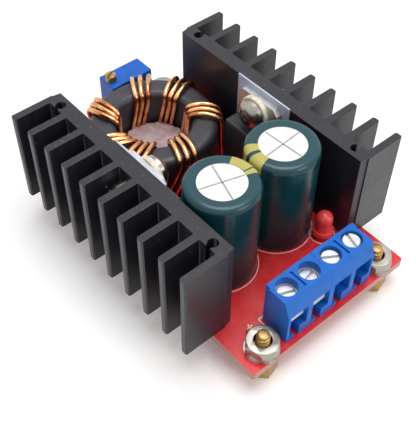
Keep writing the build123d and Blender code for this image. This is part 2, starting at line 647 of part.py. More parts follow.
with BuildPart() as core_adhesive:
    with BuildSketch(Plane.XZ.offset(-COIL_Y)):
        pool_radius = WIRE_INNER - WIRE_RADIUS - ADHESIVE_GAP
        with BuildLine():
            Polyline(
                (COIL_X, BOARD_TOP),
                (COIL_X + pool_radius, BOARD_TOP),
                (COIL_X + pool_radius, BOARD_TOP + ADHESIVE_HEIGHT),
                (COIL_X + 0.8 * pool_radius, BOARD_TOP + ADHESIVE_HEIGHT - 0.6 * ADHESIVE_DISH),
                (COIL_X + 0.4 * pool_radius, BOARD_TOP + ADHESIVE_HEIGHT - 0.95 * ADHESIVE_DISH),
                (COIL_X, BOARD_TOP + ADHESIVE_HEIGHT - ADHESIVE_DISH),
                close=True,
            )
        make_face()
    revolve(axis=Axis((COIL_X, COIL_Y, 0), (0, 0, 1)))
save(core_adhesive, "core_adhesive")


def make_can(centre, vent_turn):
    """The aluminium can: crimped over its seal at the foot, scored with a cross at the top."""
    radius = CAPACITOR_RADIUS - SLEEVE_THICKNESS
    top = BOARD_TOP + CAPACITOR_HEIGHT - SLEEVE_THICKNESS
    foot = BOARD_TOP + CAN_FOOT
    with BuildPart() as can:
        with BuildSketch(Plane.XY.offset(foot)):
            with Locations((centre, CAPACITOR_Y)):
                Circle(radius)
        extrude(amount=top - foot)
        fillet(can.edges().group_by(Axis.Z)[-1], radius=CAN_EDGE_RADIUS)
        with BuildSketch(Plane.XY.offset(foot)):
            with Locations((centre, CAPACITOR_Y)):
                Circle(radius - CAN_WALL)
        extrude(amount=SEAL_THICKNESS, mode=Mode.SUBTRACT)
        with BuildSketch(Plane.XZ.offset(-CAPACITOR_Y)):
            with Locations((centre + radius, BOARD_TOP + CRIMP_HEIGHT)):
                Circle(CRIMP_RADIUS)
        revolve(axis=Axis((centre, CAPACITOR_Y, 0), (0, 0, 1)), mode=Mode.SUBTRACT)
        with BuildSketch(Plane.XY.offset(top)):
            with Locations((centre, CAPACITOR_Y)):
                Rectangle(VENT_LENGTH, VENT_WIDTH, rotation=vent_turn)
                Rectangle(VENT_WIDTH, VENT_LENGTH, rotation=vent_turn)
        extrude(amount=-VENT_DEPTH, mode=Mode.SUBTRACT)
    return can


def make_sleeve(centre):
    """The shrunk plastic sleeve, which turns in over the can's top edge."""
    inner = CAPACITOR_RADIUS - SLEEVE_THICKNESS
    top = BOARD_TOP + CAPACITOR_HEIGHT
    hem = BOARD_TOP + SLEEVE_HEM
    outer_edge = CAN_EDGE_RADIUS + SLEEVE_THICKNESS
    with BuildPart() as sleeve:
        with BuildSketch(Plane.XZ.offset(-CAPACITOR_Y)):
            with BuildLine():
                Line((centre + inner, hem), (centre + CAPACITOR_RADIUS, hem))
                Line((centre + CAPACITOR_RADIUS, hem), (centre + CAPACITOR_RADIUS, top - outer_edge))
                RadiusArc(
                    (centre + CAPACITOR_RADIUS, top - outer_edge),
                    (centre + CAPACITOR_RADIUS - outer_edge, top),
                    -outer_edge,
                )
                Polyline(
                    (centre + CAPACITOR_RADIUS - outer_edge, top),
                    (centre + SLEEVE_OPENING_RADIUS, top),
                    (centre + SLEEVE_OPENING_RADIUS, top - SLEEVE_THICKNESS),
                    (centre + inner - CAN_EDGE_RADIUS, top - SLEEVE_THICKNESS),
                )
                RadiusArc(
                    (centre + inner - CAN_EDGE_RADIUS, top - SLEEVE_THICKNESS),
                    (centre + inner, top - outer_edge),
                    CAN_EDGE_RADIUS,
                )
                Line((centre + inner, top - outer_edge), (centre + inner, hem))
            make_face()
        revolve(axis=Axis((centre, CAPACITOR_Y, 0), (0, 0, 1)))
    return sleeve


def make_seal(centre):
    """The rubber bung in the can's foot."""
    with BuildPart() as seal:
        with BuildSketch(Plane.XY.offset(BOARD_TOP + CAN_FOOT)):
            with Locations((centre, CAPACITOR_Y)):
                Circle(CAPACITOR_RADIUS - SLEEVE_THICKNESS - CAN_WALL)
        extrude(amount=SEAL_THICKNESS)
    return seal


def make_capacitor_leads(centre):
    """The two wires that leave the bung."""
    with BuildPart() as leads:
        with BuildSketch(Plane.XY.offset(LEAD_BOTTOM)):
            with Locations((centre, CAPACITOR_Y)):
                with GridLocations(CAPACITOR_LEAD_PITCH, 0, 2, 1):
                    Circle(CAPACITOR_LEAD_RADIUS)
        extrude(amount=BOARD_TOP + CAN_FOOT - LEAD_BOTTOM)
    return leads


for name, centre, vent_turn in (
    ("input", INPUT_CAPACITOR_X, INPUT_VENT_TURN),
    ("output", OUTPUT_CAPACITOR_X, OUTPUT_VENT_TURN),
):
    save(make_can(centre, vent_turn), f"{name}_capacitor_can")
    save(make_sleeve(centre), f"{name}_capacitor_sleeve")
    save(make_seal(centre), f"{name}_capacitor_seal")
    save(make_capacitor_leads(centre), f"{name}_capacitor_leads")

# Trimmer: moulded case on two feet, with a brass screw on top
with BuildPart() as trimmer_case:
    with BuildSketch(Plane.XY.offset(TRIMMER_BOTTOM)):
        with Locations((TRIMMER_X, TRIMMER_Y)):
            Rectangle(TRIMMER_LENGTH, TRIMMER_WIDTH)
    extrude(amount=TRIMMER_HEIGHT)
    chamfer(trimmer_case.edges().filter_by(Axis.Z), length=TRIMMER_EDGE)
    chamfer(trimmer_case.edges().group_by(Axis.Z)[-1], length=TRIMMER_EDGE)
    with BuildSketch(Plane.XY.offset(BOARD_TOP)):
        with Locations((TRIMMER_X, TRIMMER_Y)):
            with GridLocations(TRIMMER_LENGTH - TRIMMER_FOOT - 2 * TRIMMER_EDGE, 0, 2, 1):
                Rectangle(TRIMMER_FOOT, TRIMMER_WIDTH - 2 * TRIMMER_EDGE)
    extrude(amount=TRIMMER_LIFT)
    with BuildSketch(Plane.XY.offset(TRIMMER_TOP)):
        with Locations((TRIMMER_SCREW_X, TRIMMER_Y)):
            Circle(TRIMMER_SHANK_RADIUS + RUNNING_CLEARANCE)
    extrude(amount=-(TRIMMER_SHANK_LENGTH + 2 * RUNNING_CLEARANCE), mode=Mode.SUBTRACT)
save(trimmer_case, "trimmer_case")

with BuildPart() as trimmer_screw:
    head_bottom = TRIMMER_TOP + RUNNING_CLEARANCE
    with BuildSketch(Plane.XY.offset(head_bottom)):
        with Locations((TRIMMER_SCREW_X, TRIMMER_Y)):
            Circle(TRIMMER_SCREW_RADIUS)
    extrude(amount=TRIMMER_TOP + TRIMMER_SCREW_PROUD - head_bottom)
    chamfer(trimmer_screw.edges().group_by(Axis.Z)[-1], length=0.2)
    with BuildSketch(Plane.XY.offset(head_bottom)):
        with Locations((TRIMMER_SCREW_X, TRIMMER_Y)):
            Circle(TRIMMER_SHANK_RADIUS)
    extrude(amount=-TRIMMER_SHANK_LENGTH)
    with BuildSketch(Plane.XY.offset(TRIMMER_TOP + TRIMMER_SCREW_PROUD)):
        with Locations((TRIMMER_SCREW_X, TRIMMER_Y)):
            Rectangle(3 * TRIMMER_SCREW_RADIUS, TRIMMER_SLOT_WIDTH, rotation=30)
    extrude(amount=-TRIMMER_SLOT_DEPTH, mode=Mode.SUBTRACT)
save(trimmer_screw, "trimmer_screw")

with BuildPart() as trimmer_pins:
    with BuildSketch(Plane.XY.offset(LEAD_BOTTOM)):
        with Locations((TRIMMER_X, TRIMMER_Y)):
            with GridLocations(LEAD_PITCH, 0, 3, 1):
                Circle(TRIMMER_PIN_RADIUS)
    extrude(amount=TRIMMER_BOTTOM - LEAD_BOTTOM)
save(trimmer_pins, "trimmer_pins")

# Indicator lamp: a domed lens with a flange, on two square leads
with BuildPart() as lamp_lens:
    lamp_bottom = BOARD_TOP + LAMP_LIFT
    with BuildSketch(Plane.XY.offset(lamp_bottom)):
        with Locations((LAMP_X, LAMP_Y)):
            Circle(LAMP_FLANGE_RADIUS)
        with Locations((LAMP_X + 2 * LAMP_FLANGE_RADIUS - 0.3, LAMP_Y)):
            Rectangle(2 * LAMP_FLANGE_RADIUS, 2 * LAMP_FLANGE_RADIUS, mode=Mode.SUBTRACT)
    extrude(amount=LAMP_FLANGE_HEIGHT)
    with BuildSketch(Plane.XY.offset(lamp_bottom)):
        with Locations((LAMP_X, LAMP_Y)):
            Circle(LAMP_RADIUS)
    extrude(amount=LAMP_HEIGHT - LAMP_RADIUS)
    with Locations((LAMP_X, LAMP_Y, lamp_bottom + LAMP_HEIGHT - LAMP_RADIUS)):
        Sphere(LAMP_RADIUS)
save(lamp_lens, "lamp_lens")

with BuildPart() as lamp_leads:
    with BuildSketch(Plane.XY.offset(LEAD_BOTTOM)):
        with Locations((LAMP_X, LAMP_Y)):
            with GridLocations(LAMP_LEAD_PITCH, 0, 2, 1):
                Rectangle(LAMP_LEAD, LAMP_LEAD)
    extrude(amount=BOARD_TOP + LAMP_LIFT - LEAD_BOTTOM)
save(lamp_leads, "lamp_leads")


def make_housing(poles):
    """A two-pole terminal housing, open at the front under its brow."""
    middle = sum(poles) / 2
    left = middle - POLE_PITCH
    outside_y = HOUSING_FRONT_Y - 1
    with BuildPart() as housing:
        with BuildSketch(Plane.YZ.offset(left)):
            with BuildLine():
                Polyline(
                    (HOUSING_BACK_Y, BOARD_TOP),
                    (HOUSING_BACK_Y, HOUSING_TOP),
                    (HOUSING_TOP_FRONT_Y, HOUSING_TOP),
                    (HOUSING_FRONT_Y, BOARD_TOP + HOUSING_BROW_HEIGHT),
                    (HOUSING_FRONT_Y, BOARD_TOP),
                    close=True,
                )
            make_face()
        extrude(amount=2 * POLE_PITCH)
        top_edges = housing.edges().filter_by(Axis.X).group_by(Axis.Z)[-1]
        fillet(top_edges.sort_by(Axis.Y)[0], radius=HOUSING_BROW_RADIUS)
        for pole in poles:
            with BuildSketch(Plane.YZ.offset(pole)):
                with BuildLine():
                    Polyline(
                        (outside_y, BOARD_TOP + SILL_HEIGHT),
                        (CAVITY_BACK_Y, BOARD_TOP + SILL_HEIGHT),
                        (CAVITY_BACK_Y, BOARD_TOP + CAVITY_TOP),
                        (slope_y(CAVITY_TOP) + BROW_WALL, BOARD_TOP + CAVITY_TOP),
                        (slope_y(HOUSING_BROW_HEIGHT) + BROW_WALL, BOARD_TOP + HOUSING_BROW_HEIGHT),
                        (outside_y, BOARD_TOP + HOUSING_BROW_HEIGHT),
                        close=True,
                    )
                make_face()
            extrude(amount=CAVITY_WIDTH / 2, both=True, mode=Mode.SUBTRACT)
            entry_left = pole - CAVITY_WIDTH / 2
            step_middle_y = (outside_y + SILL_STEP_Y) / 2
            with BuildSketch(Plane.XY.offset(BOARD_TOP)):
                with Locations((entry_left + SILL_SLOT_LEFT + SILL_SLOT_WIDTH / 2, step_middle_y)):
                    Rectangle(SILL_SLOT_WIDTH, SILL_STEP_Y - outside_y)
            extrude(amount=SILL_HEIGHT, mode=Mode.SUBTRACT)
            with BuildSketch(Plane.XY.offset(BOARD_TOP + SILL_STEP_HEIGHT)):
                with Locations((entry_left + SILL_SLOT_LEFT / 2, step_middle_y)):
                    Rectangle(SILL_SLOT_LEFT, SILL_STEP_Y - outside_y)
            extrude(amount=SILL_HEIGHT - SILL_STEP_HEIGHT, mode=Mode.SUBTRACT)
        with BuildSketch(Plane.XY.offset(HOUSING_TOP)):
            with Locations((middle, POLE_Y)):
                with GridLocations(POLE_PITCH, 0, 2, 1):
                    Circle(SCREW_BORE_RADIUS)
        extrude(amount=CAVITY_TOP - HOUSING_HEIGHT, mode=Mode.SUBTRACT)
        with BuildSketch(Plane.XY.offset(BOARD_TOP)):
            with Locations((middle, PIN_Y)):
                with GridLocations(POLE_PITCH, 0, 2, 1):
                    Rectangle(PIN_WIDTH + 2 * FRAME_GAP, PIN_DEPTH + 2 * FRAME_GAP)
        extrude(amount=SILL_HEIGHT, mode=Mode.SUBTRACT)
        with BuildSketch(Plane.XY.offset(HOUSING_TOP)):
            with Locations((middle, POLE_Y)):
                Rectangle(SEAM_WIDTH, SEAM_LENGTH)
        extrude(amount=-SEAM_DEPTH, mode=Mode.SUBTRACT)
        with BuildSketch(Plane.XY.offset(BOARD_TOP)):
            with Locations((left, HOUSING_BACK_Y)):
                Rectangle(2 * HOOK_DEPTH, 2 * HOOK_WIDTH)
        extrude(amount=HOUSING_HEIGHT, mode=Mode.SUBTRACT)
        with BuildSketch(Plane.XY.offset(BOARD_TOP)):
            with Locations((middle + POLE_PITCH, HOUSING_BACK_Y - HOOK_WIDTH / 2)):
                Rectangle(2 * (HOOK_DEPTH - HOOK_GAP), HOOK_WIDTH - 2 * HOOK_GAP)
        extrude(amount=HOUSING_HEIGHT)
    return housing


save(make_housing(POLES[:2]), "terminal_housing_left")
save(make_housing(POLES[2:]), "terminal_housing_right")


def make_frame(pole):
    """The bent metal frame: threaded wall on top, contact bar below, pin through the board."""
    bar_bottom = BOARD_TOP + SILL_HEIGHT + FRAME_GAP
    wall_bottom = BOARD_TOP + FRAME_WALL_BOTTOM
    wall_top = BOARD_TOP + CAVITY_TOP - FRAME_GAP
    leg_y = FRAME_BACK_Y - FRAME_LEG
    with BuildPart() as frame:
        with BuildSketch(Plane.YZ.offset(pole)):
            with BuildLine():
                Polyline(
                    (FRAME_BACK_Y, bar_bottom),
                    (FRAME_BACK_Y, wall_top),
                    (FRAME_FRONT_Y, wall_top),
                    (FRAME_FRONT_Y, wall_bottom),
                    (leg_y, wall_bottom),
                    (leg_y, bar_bottom + FRAME_BAR),
                    (FRAME_BAR_FRONT_Y, bar_bottom + FRAME_BAR),
                    (FRAME_BAR_FRONT_Y, bar_bottom),
                    close=True,
                )
            make_face()
        extrude(amount=FRAME_WIDTH / 2, both=True)
        with BuildSketch(Plane.XY.offset(wall_bottom)):
            with Locations((pole, POLE_Y)):
                Circle(CLAMP_SCREW_RADIUS + RUNNING_CLEARANCE)
        extrude(amount=wall_top - wall_bottom, mode=Mode.SUBTRACT)
        with BuildSketch(Plane.XY.offset(LEAD_BOTTOM)):
            with Locations((pole, PIN_Y)):
                Rectangle(PIN_WIDTH, PIN_DEPTH)
        extrude(amount=bar_bottom - LEAD_BOTTOM)
    return frame


def make_clamp_plate(pole, depth):
    """The plate under the screw's tip, which presses the wire on the contact bar."""
    top = HOUSING_TOP - depth - CLAMP_SCREW_LENGTH - PLATE_GAP
    back = FRAME_BACK_Y - FRAME_LEG - PLATE_LEG_GAP
    with BuildPart() as plate:
        with BuildSketch(Plane.XY.offset(top)):
            with Locations((pole, (PLATE_FRONT_Y + back) / 2)):
                Rectangle(PLATE_WIDTH, back - PLATE_FRONT_Y)
        extrude(amount=-PLATE_THICKNESS)
        fillet(plate.edges().filter_by(Axis.X).group_by(Axis.Y)[0], radius=0.2)
    return plate


def make_clamp_screw(pole, depth, turn):
    """A slotted headless screw at its depth in the housing."""
    top = HOUSING_TOP - depth
    with BuildPart() as screw:
        with BuildSketch(Plane.XY.offset(top)):
            with Locations((pole, POLE_Y)):
                Circle(CLAMP_SCREW_RADIUS)
        extrude(amount=-CLAMP_SCREW_LENGTH)
        chamfer(screw.edges().filter_by(GeomType.CIRCLE), length=0.15)
        with BuildSketch(Plane.XY.offset(top)):
            with Locations((pole, POLE_Y)):
                Rectangle(3 * CLAMP_SCREW_RADIUS, CLAMP_SLOT_WIDTH, rotation=turn)
        extrude(amount=-CLAMP_SLOT_DEPTH, mode=Mode.SUBTRACT)
    return screw


for place, (pole, depth, turn) in enumerate(zip(POLES, SCREW_DEPTHS, SLOT_TURNS), start=1):
    save(make_frame(pole), f"terminal_frame_{place}")
    save(make_clamp_plate(pole, depth), f"clamp_plate_{place}")
    save(make_clamp_screw(pole, depth, turn), f"clamp_screw_{place}")

# Controller chip under the board
chip_face = BOARD_BOTTOM - CHIP_LIFT
with BuildPart() as controller_leads:
    lead_level = chip_face - CHIP_HEIGHT / 2
    for row in range(4):
        row_y = CHIP_Y + (row - 1.5) * CHIP_LEAD_PITCH
        with BuildSketch(Plane.XZ.offset(-row_y)):
            for side in (-1, 1):
                wall_x = CHIP_X + side * CHIP_WIDTH / 2
                foot_x = wall_x + side * CHIP_LEAD_REACH
                knee_x = foot_x - side * CHIP_LEAD_FOOT
                with BuildLine():
                    Polyline(
                        (wall_x, lead_level),
                        (knee_x + side * CHIP_LEAD_THICKNESS, lead_level),
                        (knee_x + side * CHIP_LEAD_THICKNESS, BOARD_BOTTOM - CHIP_LEAD_THICKNESS),
                        (foot_x, BOARD_BOTTOM - CHIP_LEAD_THICKNESS),
                        (foot_x, BOARD_BOTTOM),
                        (knee_x, BOARD_BOTTOM),
                        (knee_x, lead_level + CHIP_LEAD_THICKNESS),
                        (wall_x, lead_level + CHIP_LEAD_THICKNESS),
                        close=True,
                    )
                make_face()
        extrude(amount=CHIP_LEAD_WIDTH / 2, both=True)
save(controller_leads, "controller_leads")

with BuildPart() as controller_body:
    with BuildSketch(Plane.XY.offset(chip_face)):
        with Locations((CHIP_X, CHIP_Y)):
            Rectangle(CHIP_WIDTH, CHIP_LENGTH)
    extrude(amount=-CHIP_HEIGHT)
    chamfer(controller_body.edges().group_by(Axis.Z)[0], length=0.25)
save(controller_body, "controller_body")

with BuildPart() as sense_resistor:
    with BuildSketch(Plane.XY.offset(BOARD_BOTTOM)):
        with Locations((SHUNT_X, SHUNT_Y)):
            Rectangle(SHUNT_LENGTH, SHUNT_WIDTH)
    extrude(amount=-SHUNT_HEIGHT)
    chamfer(sense_resistor.edges(), length=SMALL_EDGE)
save(sense_resistor, "sense_resistor")


def make_chips(places, height):
    """A group of small soldered chips at the places given."""
    with BuildPart() as chips:
        with BuildSketch(Plane.XY.offset(BOARD_BOTTOM)):
            with Locations(*places):
                Rectangle(SMALL_LENGTH, SMALL_WIDTH)
        extrude(amount=-height)
        chamfer(chips.edges(), length=SMALL_EDGE)
    return chips


save(make_chips(RESISTOR_PLACES, RESISTOR_HEIGHT), "chip_resistors")
save(make_chips(CHIP_CAPACITOR_PLACES, CAPACITOR_CHIP_HEIGHT), "chip_capacitors")

# Solder: a cone round every lead under the board
with BuildPart() as solder_joints:
    for lead_x, lead_y, lead_radius in LEADS:
        with BuildSketch(Plane.XZ.offset(-lead_y)):
            with BuildLine():
                Polyline(
                    (lead_x + lead_radius + SOLDER_GAP, BOARD_BOTTOM),
                    (lead_x + SOLDER_RADIUS, BOARD_BOTTOM),
                    (lead_x + lead_radius + SOLDER_TIP, BOARD_BOTTOM - SOLDER_HEIGHT),
                    (lead_x + lead_radius + SOLDER_GAP, BOARD_BOTTOM - SOLDER_HEIGHT),
                    close=True,
                )
            make_face()
        revolve(axis=Axis((lead_x, lead_y, 0), (0, 0, 1)))
save(solder_joints, "solder_joints")
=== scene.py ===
"""Boost converter module: surface finishes, small details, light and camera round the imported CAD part."""

import math
import random

import bpy
from mathutils import Matrix, Vector


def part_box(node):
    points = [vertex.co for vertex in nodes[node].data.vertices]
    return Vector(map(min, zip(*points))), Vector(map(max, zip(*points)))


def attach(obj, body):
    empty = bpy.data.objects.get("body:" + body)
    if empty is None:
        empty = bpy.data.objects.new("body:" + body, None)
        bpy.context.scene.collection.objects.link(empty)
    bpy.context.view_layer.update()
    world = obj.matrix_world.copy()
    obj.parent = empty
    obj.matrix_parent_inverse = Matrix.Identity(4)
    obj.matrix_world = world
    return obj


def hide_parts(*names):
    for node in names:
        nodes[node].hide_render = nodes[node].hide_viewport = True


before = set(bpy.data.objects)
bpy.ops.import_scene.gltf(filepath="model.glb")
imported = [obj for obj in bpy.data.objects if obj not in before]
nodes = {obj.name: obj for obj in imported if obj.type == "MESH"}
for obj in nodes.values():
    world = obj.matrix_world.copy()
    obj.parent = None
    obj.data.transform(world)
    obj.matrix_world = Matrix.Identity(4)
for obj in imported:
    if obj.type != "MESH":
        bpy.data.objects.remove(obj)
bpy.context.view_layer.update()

# Sizes and places are in millimetres and turns in degrees, up to the call that makes a piece
MM = 0.001


def box(node):
    """A node's lowest and highest corners, to a hundredth of a millimetre."""
    return [[round(length / MM, 2) for length in corner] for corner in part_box(node)]


def axis_of(node):
    """Where the upright line through a node's middle stands, to a hundredth of a millimetre."""
    low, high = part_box(node)
    return tuple(round((low[side] + high[side]) / 2 / MM, 2) for side in (0, 1))


BOARD_BOTTOM, BOARD_TOP = (corner[2] for corner in box("circuit_board"))
# The standoffs with their nuts
CORNERS = [(x, y) for x in (-13.5, 13.5) for y in (-29.6, 29.6)]
COIL = axis_of("toroid_core")
LAMP = axis_of("lamp_leads")
TRIMMER = axis_of("trimmer_case")
# The terminals' poles, numbered from the left, and the row of their solder pins
POLES = (1, 2, 3, 4)
TERMINAL_PIN_Y = -27.9
LEAD_PITCH = 2.54
CAPACITOR_LEAD_PITCH = 5.0
# Each capacitor, with the turn of its vent's cross and the spans of the gold stripes round its sleeve
CAPACITORS = {
    "input": {"axis": axis_of("input_capacitor_can"), "vent": -17.0, "stripes": ((-20, -9), (-6, 33))},
    "output": {"axis": axis_of("output_capacitor_can"), "vent": 4.0, "stripes": ((141, 160), (168, 193))},
}


# Colours and materials


def srgb(text):
    """A linear colour from a hex text such as "c3222c"."""
    parts = [int(text[i : i + 2], 16) / 255 for i in (0, 2, 4)]
    return [p / 12.92 if p <= 0.04045 else ((p + 0.055) / 1.055) ** 2.4 for p in parts] + [1.0]


def feed(node, inputs):
    """Gives inputs of a node, by name or number, their values or links from other nodes' outputs."""
    for key, value in inputs.items():
        if isinstance(value, bpy.types.NodeSocket):
            node.id_data.links.new(value, node.inputs[key])
        else:
            node.inputs[key].default_value = value


def add_node(tree, kind, inputs=None, **settings):
    """Adds a shader node with its settings and what its inputs are fed."""
    node = tree.nodes.new("ShaderNode" + kind)
    for name, value in settings.items():
        setattr(node, name, value)
    feed(node, inputs or {})
    return node


class Finish:
    """A Principled material built step by step. Pattern sizes are real millimetres on the object."""

    def __init__(self, name, colour, roughness, metallic=0.0, **more):
        self.material = bpy.data.materials.new(name)
        self.material.use_nodes = True
        self.tree = self.material.node_tree
        self.surface = self.tree.nodes["Principled BSDF"]
        self.place = add_node(self.tree, "TexCoord").outputs["Object"]
        self.colour = srgb(colour)
        feed(self.surface, {"Base Color": self.colour, "Roughness": roughness, "Metallic": metallic})
        feed(self.surface, {socket.replace("_", " "): value for socket, value in more.items()})

    def grain(self, size):
        """Noise with features of about a size, or of one size along each axis."""
        sizes = size if isinstance(size, tuple) else (size, size, size)
        scale = [1 / (length * MM) for length in sizes]
        place = add_node(self.tree, "Mapping", {"Vector": self.place, "Scale": scale}).outputs["Vector"]
        look = {"Vector": place, "Scale": 1.0, "Detail": 3.0, "Roughness": 0.55}
        return add_node(self.tree, "TexNoise", look).outputs["Fac"]

    def patches(self, size, low, high, start=0.0, end=1.0):
        """The grain's values from low to high, spread from start to end."""
        spread = {"From Min": low, "From Max": high, "To Min": start, "To Max": end}
        return add_node(self.tree, "MapRange", {"Value": self.grain(size), **spread}).outputs["Result"]

    def cover(self, share, other):
        """Covers the colour with another one as far as the share says."""
        colours = {"Factor": share, 6: self.colour, 7: srgb(other)}
        self.colour = add_node(self.tree, "Mix", colours, data_type="RGBA").outputs[2]
        feed(self.surface, {"Base Color": self.colour})
        return self

    def tint(self, size, other, low=0.45, high=0.7, amount=1.0):
        """Patches of another tone, about a size across."""
        return self.cover(self.patches(size, low, high, 0.0, amount), other)

    def level(self, start, end):
        """From zero to one as a face turns from upright, which is 0, towards level, which is 1."""
        normal = add_node(self.tree, "NewGeometry").outputs["True Normal"]
        height = add_node(self.tree, "SeparateXYZ", {"Vector": normal}).outputs["Z"]
        height = add_node(self.tree, "Math", {0: height}, operation="ABSOLUTE").outputs[0]
        spread = {"Value": height, "From Min": start, "From Max": end}
        return add_node(self.tree, "MapRange", spread).outputs["Result"]

    def sector(self, axis, spans):
        """One where the place round an upright axis lies in one of the spans of degrees, else zero."""
        middle = (spans[0][0] + spans[-1][1]) / 2
        centred = {"Location": (axis[0] * MM, axis[1] * MM, 0), "Rotation": (0, 0, math.radians(middle))}
        turned = add_node(self.tree, "Mapping", {"Vector": self.place, **centred}, vector_type="TEXTURE")
        along = add_node(self.tree, "SeparateXYZ", {"Vector": turned.outputs["Vector"]}).outputs
        angle = add_node(self.tree, "Math", {0: along["Y"], 1: along["X"]}, operation="ARCTAN2").outputs[0]
        inside = 0.0
        for first, last in spans:
            centre, half = (first + last) / 2 - middle, (last - first) / 2
            span = {0: angle, 1: math.radians(centre), 2: math.radians(half)}
            within = add_node(self.tree, "Math", span, operation="COMPARE").outputs[0]
            inside = add_node(self.tree, "Math", {0: inside, 1: within}, operation="MAXIMUM").outputs[0]
        return inside

    def vary_roughness(self, size, start, end):
        """Roughness that drifts between two values."""
        feed(self.surface, {"Roughness": self.patches(size, 0.35, 0.65, start, end)})
        return self

    def bump(self, size, height, strength=0.5):
        """Relief of about a height."""
        relief = {"Height": self.grain(size), "Distance": height * MM, "Strength": strength}
        feed(self.surface, {"Normal": add_node(self.tree, "Bump", relief).outputs["Normal"]})
        return self


def finishes():
    """Every material of the object, by name."""
    made = {}
    # Moulded grain and drawn lines are too fine to show, and are drawn a few tenths of a millimetre wide

    def add(name, *arguments, **more):
        """Starts one more material."""
        made[name] = Finish(name, *arguments, **more)
        return made[name]

    # Red solder mask: glossy, faintly mottled by the copper under it; the cut edges show the pale laminate
    mask = add("solder_mask", "dc292d", 0.34, Coat_Weight=0.1, Coat_Roughness=0.2)
    mask.tint(1.8, "e33338", 0.45, 0.62).vary_roughness(3, 0.24, 0.38).bump(0.5, 0.006, 0.15)
    mask.cover(mask.level(0.6, 0.4), "b27e73")
    # Black anodised aluminium: a hard oxide skin, fine drawn lines up the extrusion, a few specks of dust
    skin = add("anodised", "1c1c24", 0.36)
    skin.tint((0.6, 0.6, 40), "23232b", 0.4, 0.7).tint(0.45, "85858a", 0.69, 0.71, 0.8)
    skin.vary_roughness(7, 0.33, 0.4).bump((0.25, 0.25, 60), 0.006, 0.15)
    # Bright zinc plating on steel, slightly warm
    zinc = add("zinc", "aaa59c", 0.36, 1.0)
    zinc.tint(2.4, "9a958c", 0.45, 0.7).vary_roughness(1.6, 0.3, 0.42)
    # Nickel plated screw heads, softened by handling
    add("nickel", "aba69e", 0.28, 1.0).tint(1.2, "8f8a82", 0.45, 0.7).bump(0.5, 0.006, 0.12)
    # Dull tin plating on the terminals' frames, clamp plates and screws
    add("plated_strip", "dcdde0", 0.4, 0.6).tint(1.5, "c9cace").bump(0.3, 0.01, 0.2)
    # Painted shade on the thread inside a nut: dark, as little light reaches it
    add("thread_painted_shade", "3a3633", 0.6, 0.6).tint(0.6, "2a2725").bump((0.4, 0.4, 0.25), 0.05, 0.6)
    # Turned brass, a little dull
    brass = add("brass", "b3925f", 0.42, 1.0)
    brass.tint(1.4, "98794c", 0.45, 0.75).vary_roughness(0.9, 0.36, 0.48)
    # Moulded epoxy of the power devices: fine matt grain
    add("epoxy", "38383c", 0.45).tint(1.5, "414145").bump(0.15, 0.01, 0.3)
    # Tinned copper tabs and leads, satin
    tinned = add("tinned", "c8c8c9", 0.38, 0.9)
    tinned.tint(2.2, "b9b9bc", 0.45, 0.7).vary_roughness(1.6, 0.34, 0.44)
    # Thin silicone insulator, bluish and slightly clear
    pad = add("silicone", "ced5e6", 0.42, Subsurface_Weight=0.15, Subsurface_Scale=0.5 * MM)
    pad.tint(3.2, "bcc6e2").bump(1.6, 0.05, 0.35)
    # Cream nylon washer, which lets a little light in
    nylon = add("nylon", "efe9da", 0.45, Subsurface_Weight=0.15, Subsurface_Scale=0.5 * MM)
    nylon.tint(1.0, "d6c8a6")
    # Epoxy coated powder core: nearly black, with a soft sheen
    coat = add("core_coat", "312f36", 0.42)
    coat.tint(2.6, "3d3b44", 0.45, 0.7, 0.8).vary_roughness(2.6, 0.36, 0.48).bump(0.5, 0.02, 0.3)
    # Enamelled copper wire: clear varnish over bright copper
    wire = add("enamel", "edb682", 0.24, 1.0, Coat_Weight=0.4, Coat_Roughness=0.1)
    wire.tint(2.4, "bd6c3a", 0.42, 0.66)
    # Silicone adhesive, pinkish grey and lumpy
    glue = add("adhesive", "b0989b", 0.42, Subsurface_Weight=0.2, Subsurface_Scale=0.5 * MM)
    glue.tint(2.6, "bfa8aa").bump(0.9, 0.08, 0.4)
    # Bare aluminium can end, satin
    add("can", "ecebea", 0.42, 0.33).tint(3.0, "e0e0e1").vary_roughness(1.4, 0.36, 0.5)
    # Dark green shrink sleeves drawn tight, with gold ink stripes; their level ends are painted paler, a
    # painted highlight of the light from above
    for name, capacitor in CAPACITORS.items():
        film = add(f"{name}_sleeve", "0f3a40", 0.22, Specular_IOR_Level=0.35)
        film.tint(4.0, "12444d").bump((2.0, 2.0, 9.0), 0.02, 0.2)
        # Painted highlight: level faces paler, where the light from above falls
        film.cover(film.level(0.6, 0.95), "294e57")
        film.cover(film.sector(capacitor["axis"], capacitor["stripes"]), "c2b968")
    # Rubber bung, matt
    add("bung", "141417", 0.7).tint(1.0, "1f1f23")
    # Red tinted epoxy lens, glossy, with the light spread inside it
    lens = add("lens", "ff5a5c", 0.08, IOR=1.5, Subsurface_Weight=0.5, Subsurface_Scale=0.6 * MM)
    lens.tint(2.0, "fa4a4e")
    # Blue mouldings of the trimmer and the terminals: fine matt grain
    add("trimmer_blue", "1263c8", 0.42, Specular_IOR_Level=0.35).tint(2.4, "105ab6").bump(0.2, 0.008, 0.2)
    add("terminal_blue", "106bcb", 0.4, Specular_IOR_Level=0.3).tint(3.0, "0f62bd").bump(0.3, 0.006, 0.2)
    # Solder, satin with a slightly wavy skin
    add("solder", "c9cacd", 0.28, 1.0).tint(0.9, "adafb4").bump(0.5, 0.02, 0.4)
    # White ink of the board's print
    add("ink", "efeeea", 0.5).tint(0.8, "dcdad4")
    # Painted shade at the bottom of the cans' vent grooves: a dull darker grey
    add("vent_groove_shade", "9d9d9f", 0.6).tint(0.8, "87888b")
    # Moulded chip bodies, and tan ceramic
    add("chip", "1a1a1d", 0.55).tint(0.8, "232327")
    add("ceramic", "ab8660", 0.5).tint(0.7, "997550")
    return {name: finish.material for name, finish in made.items()}


paint = finishes()

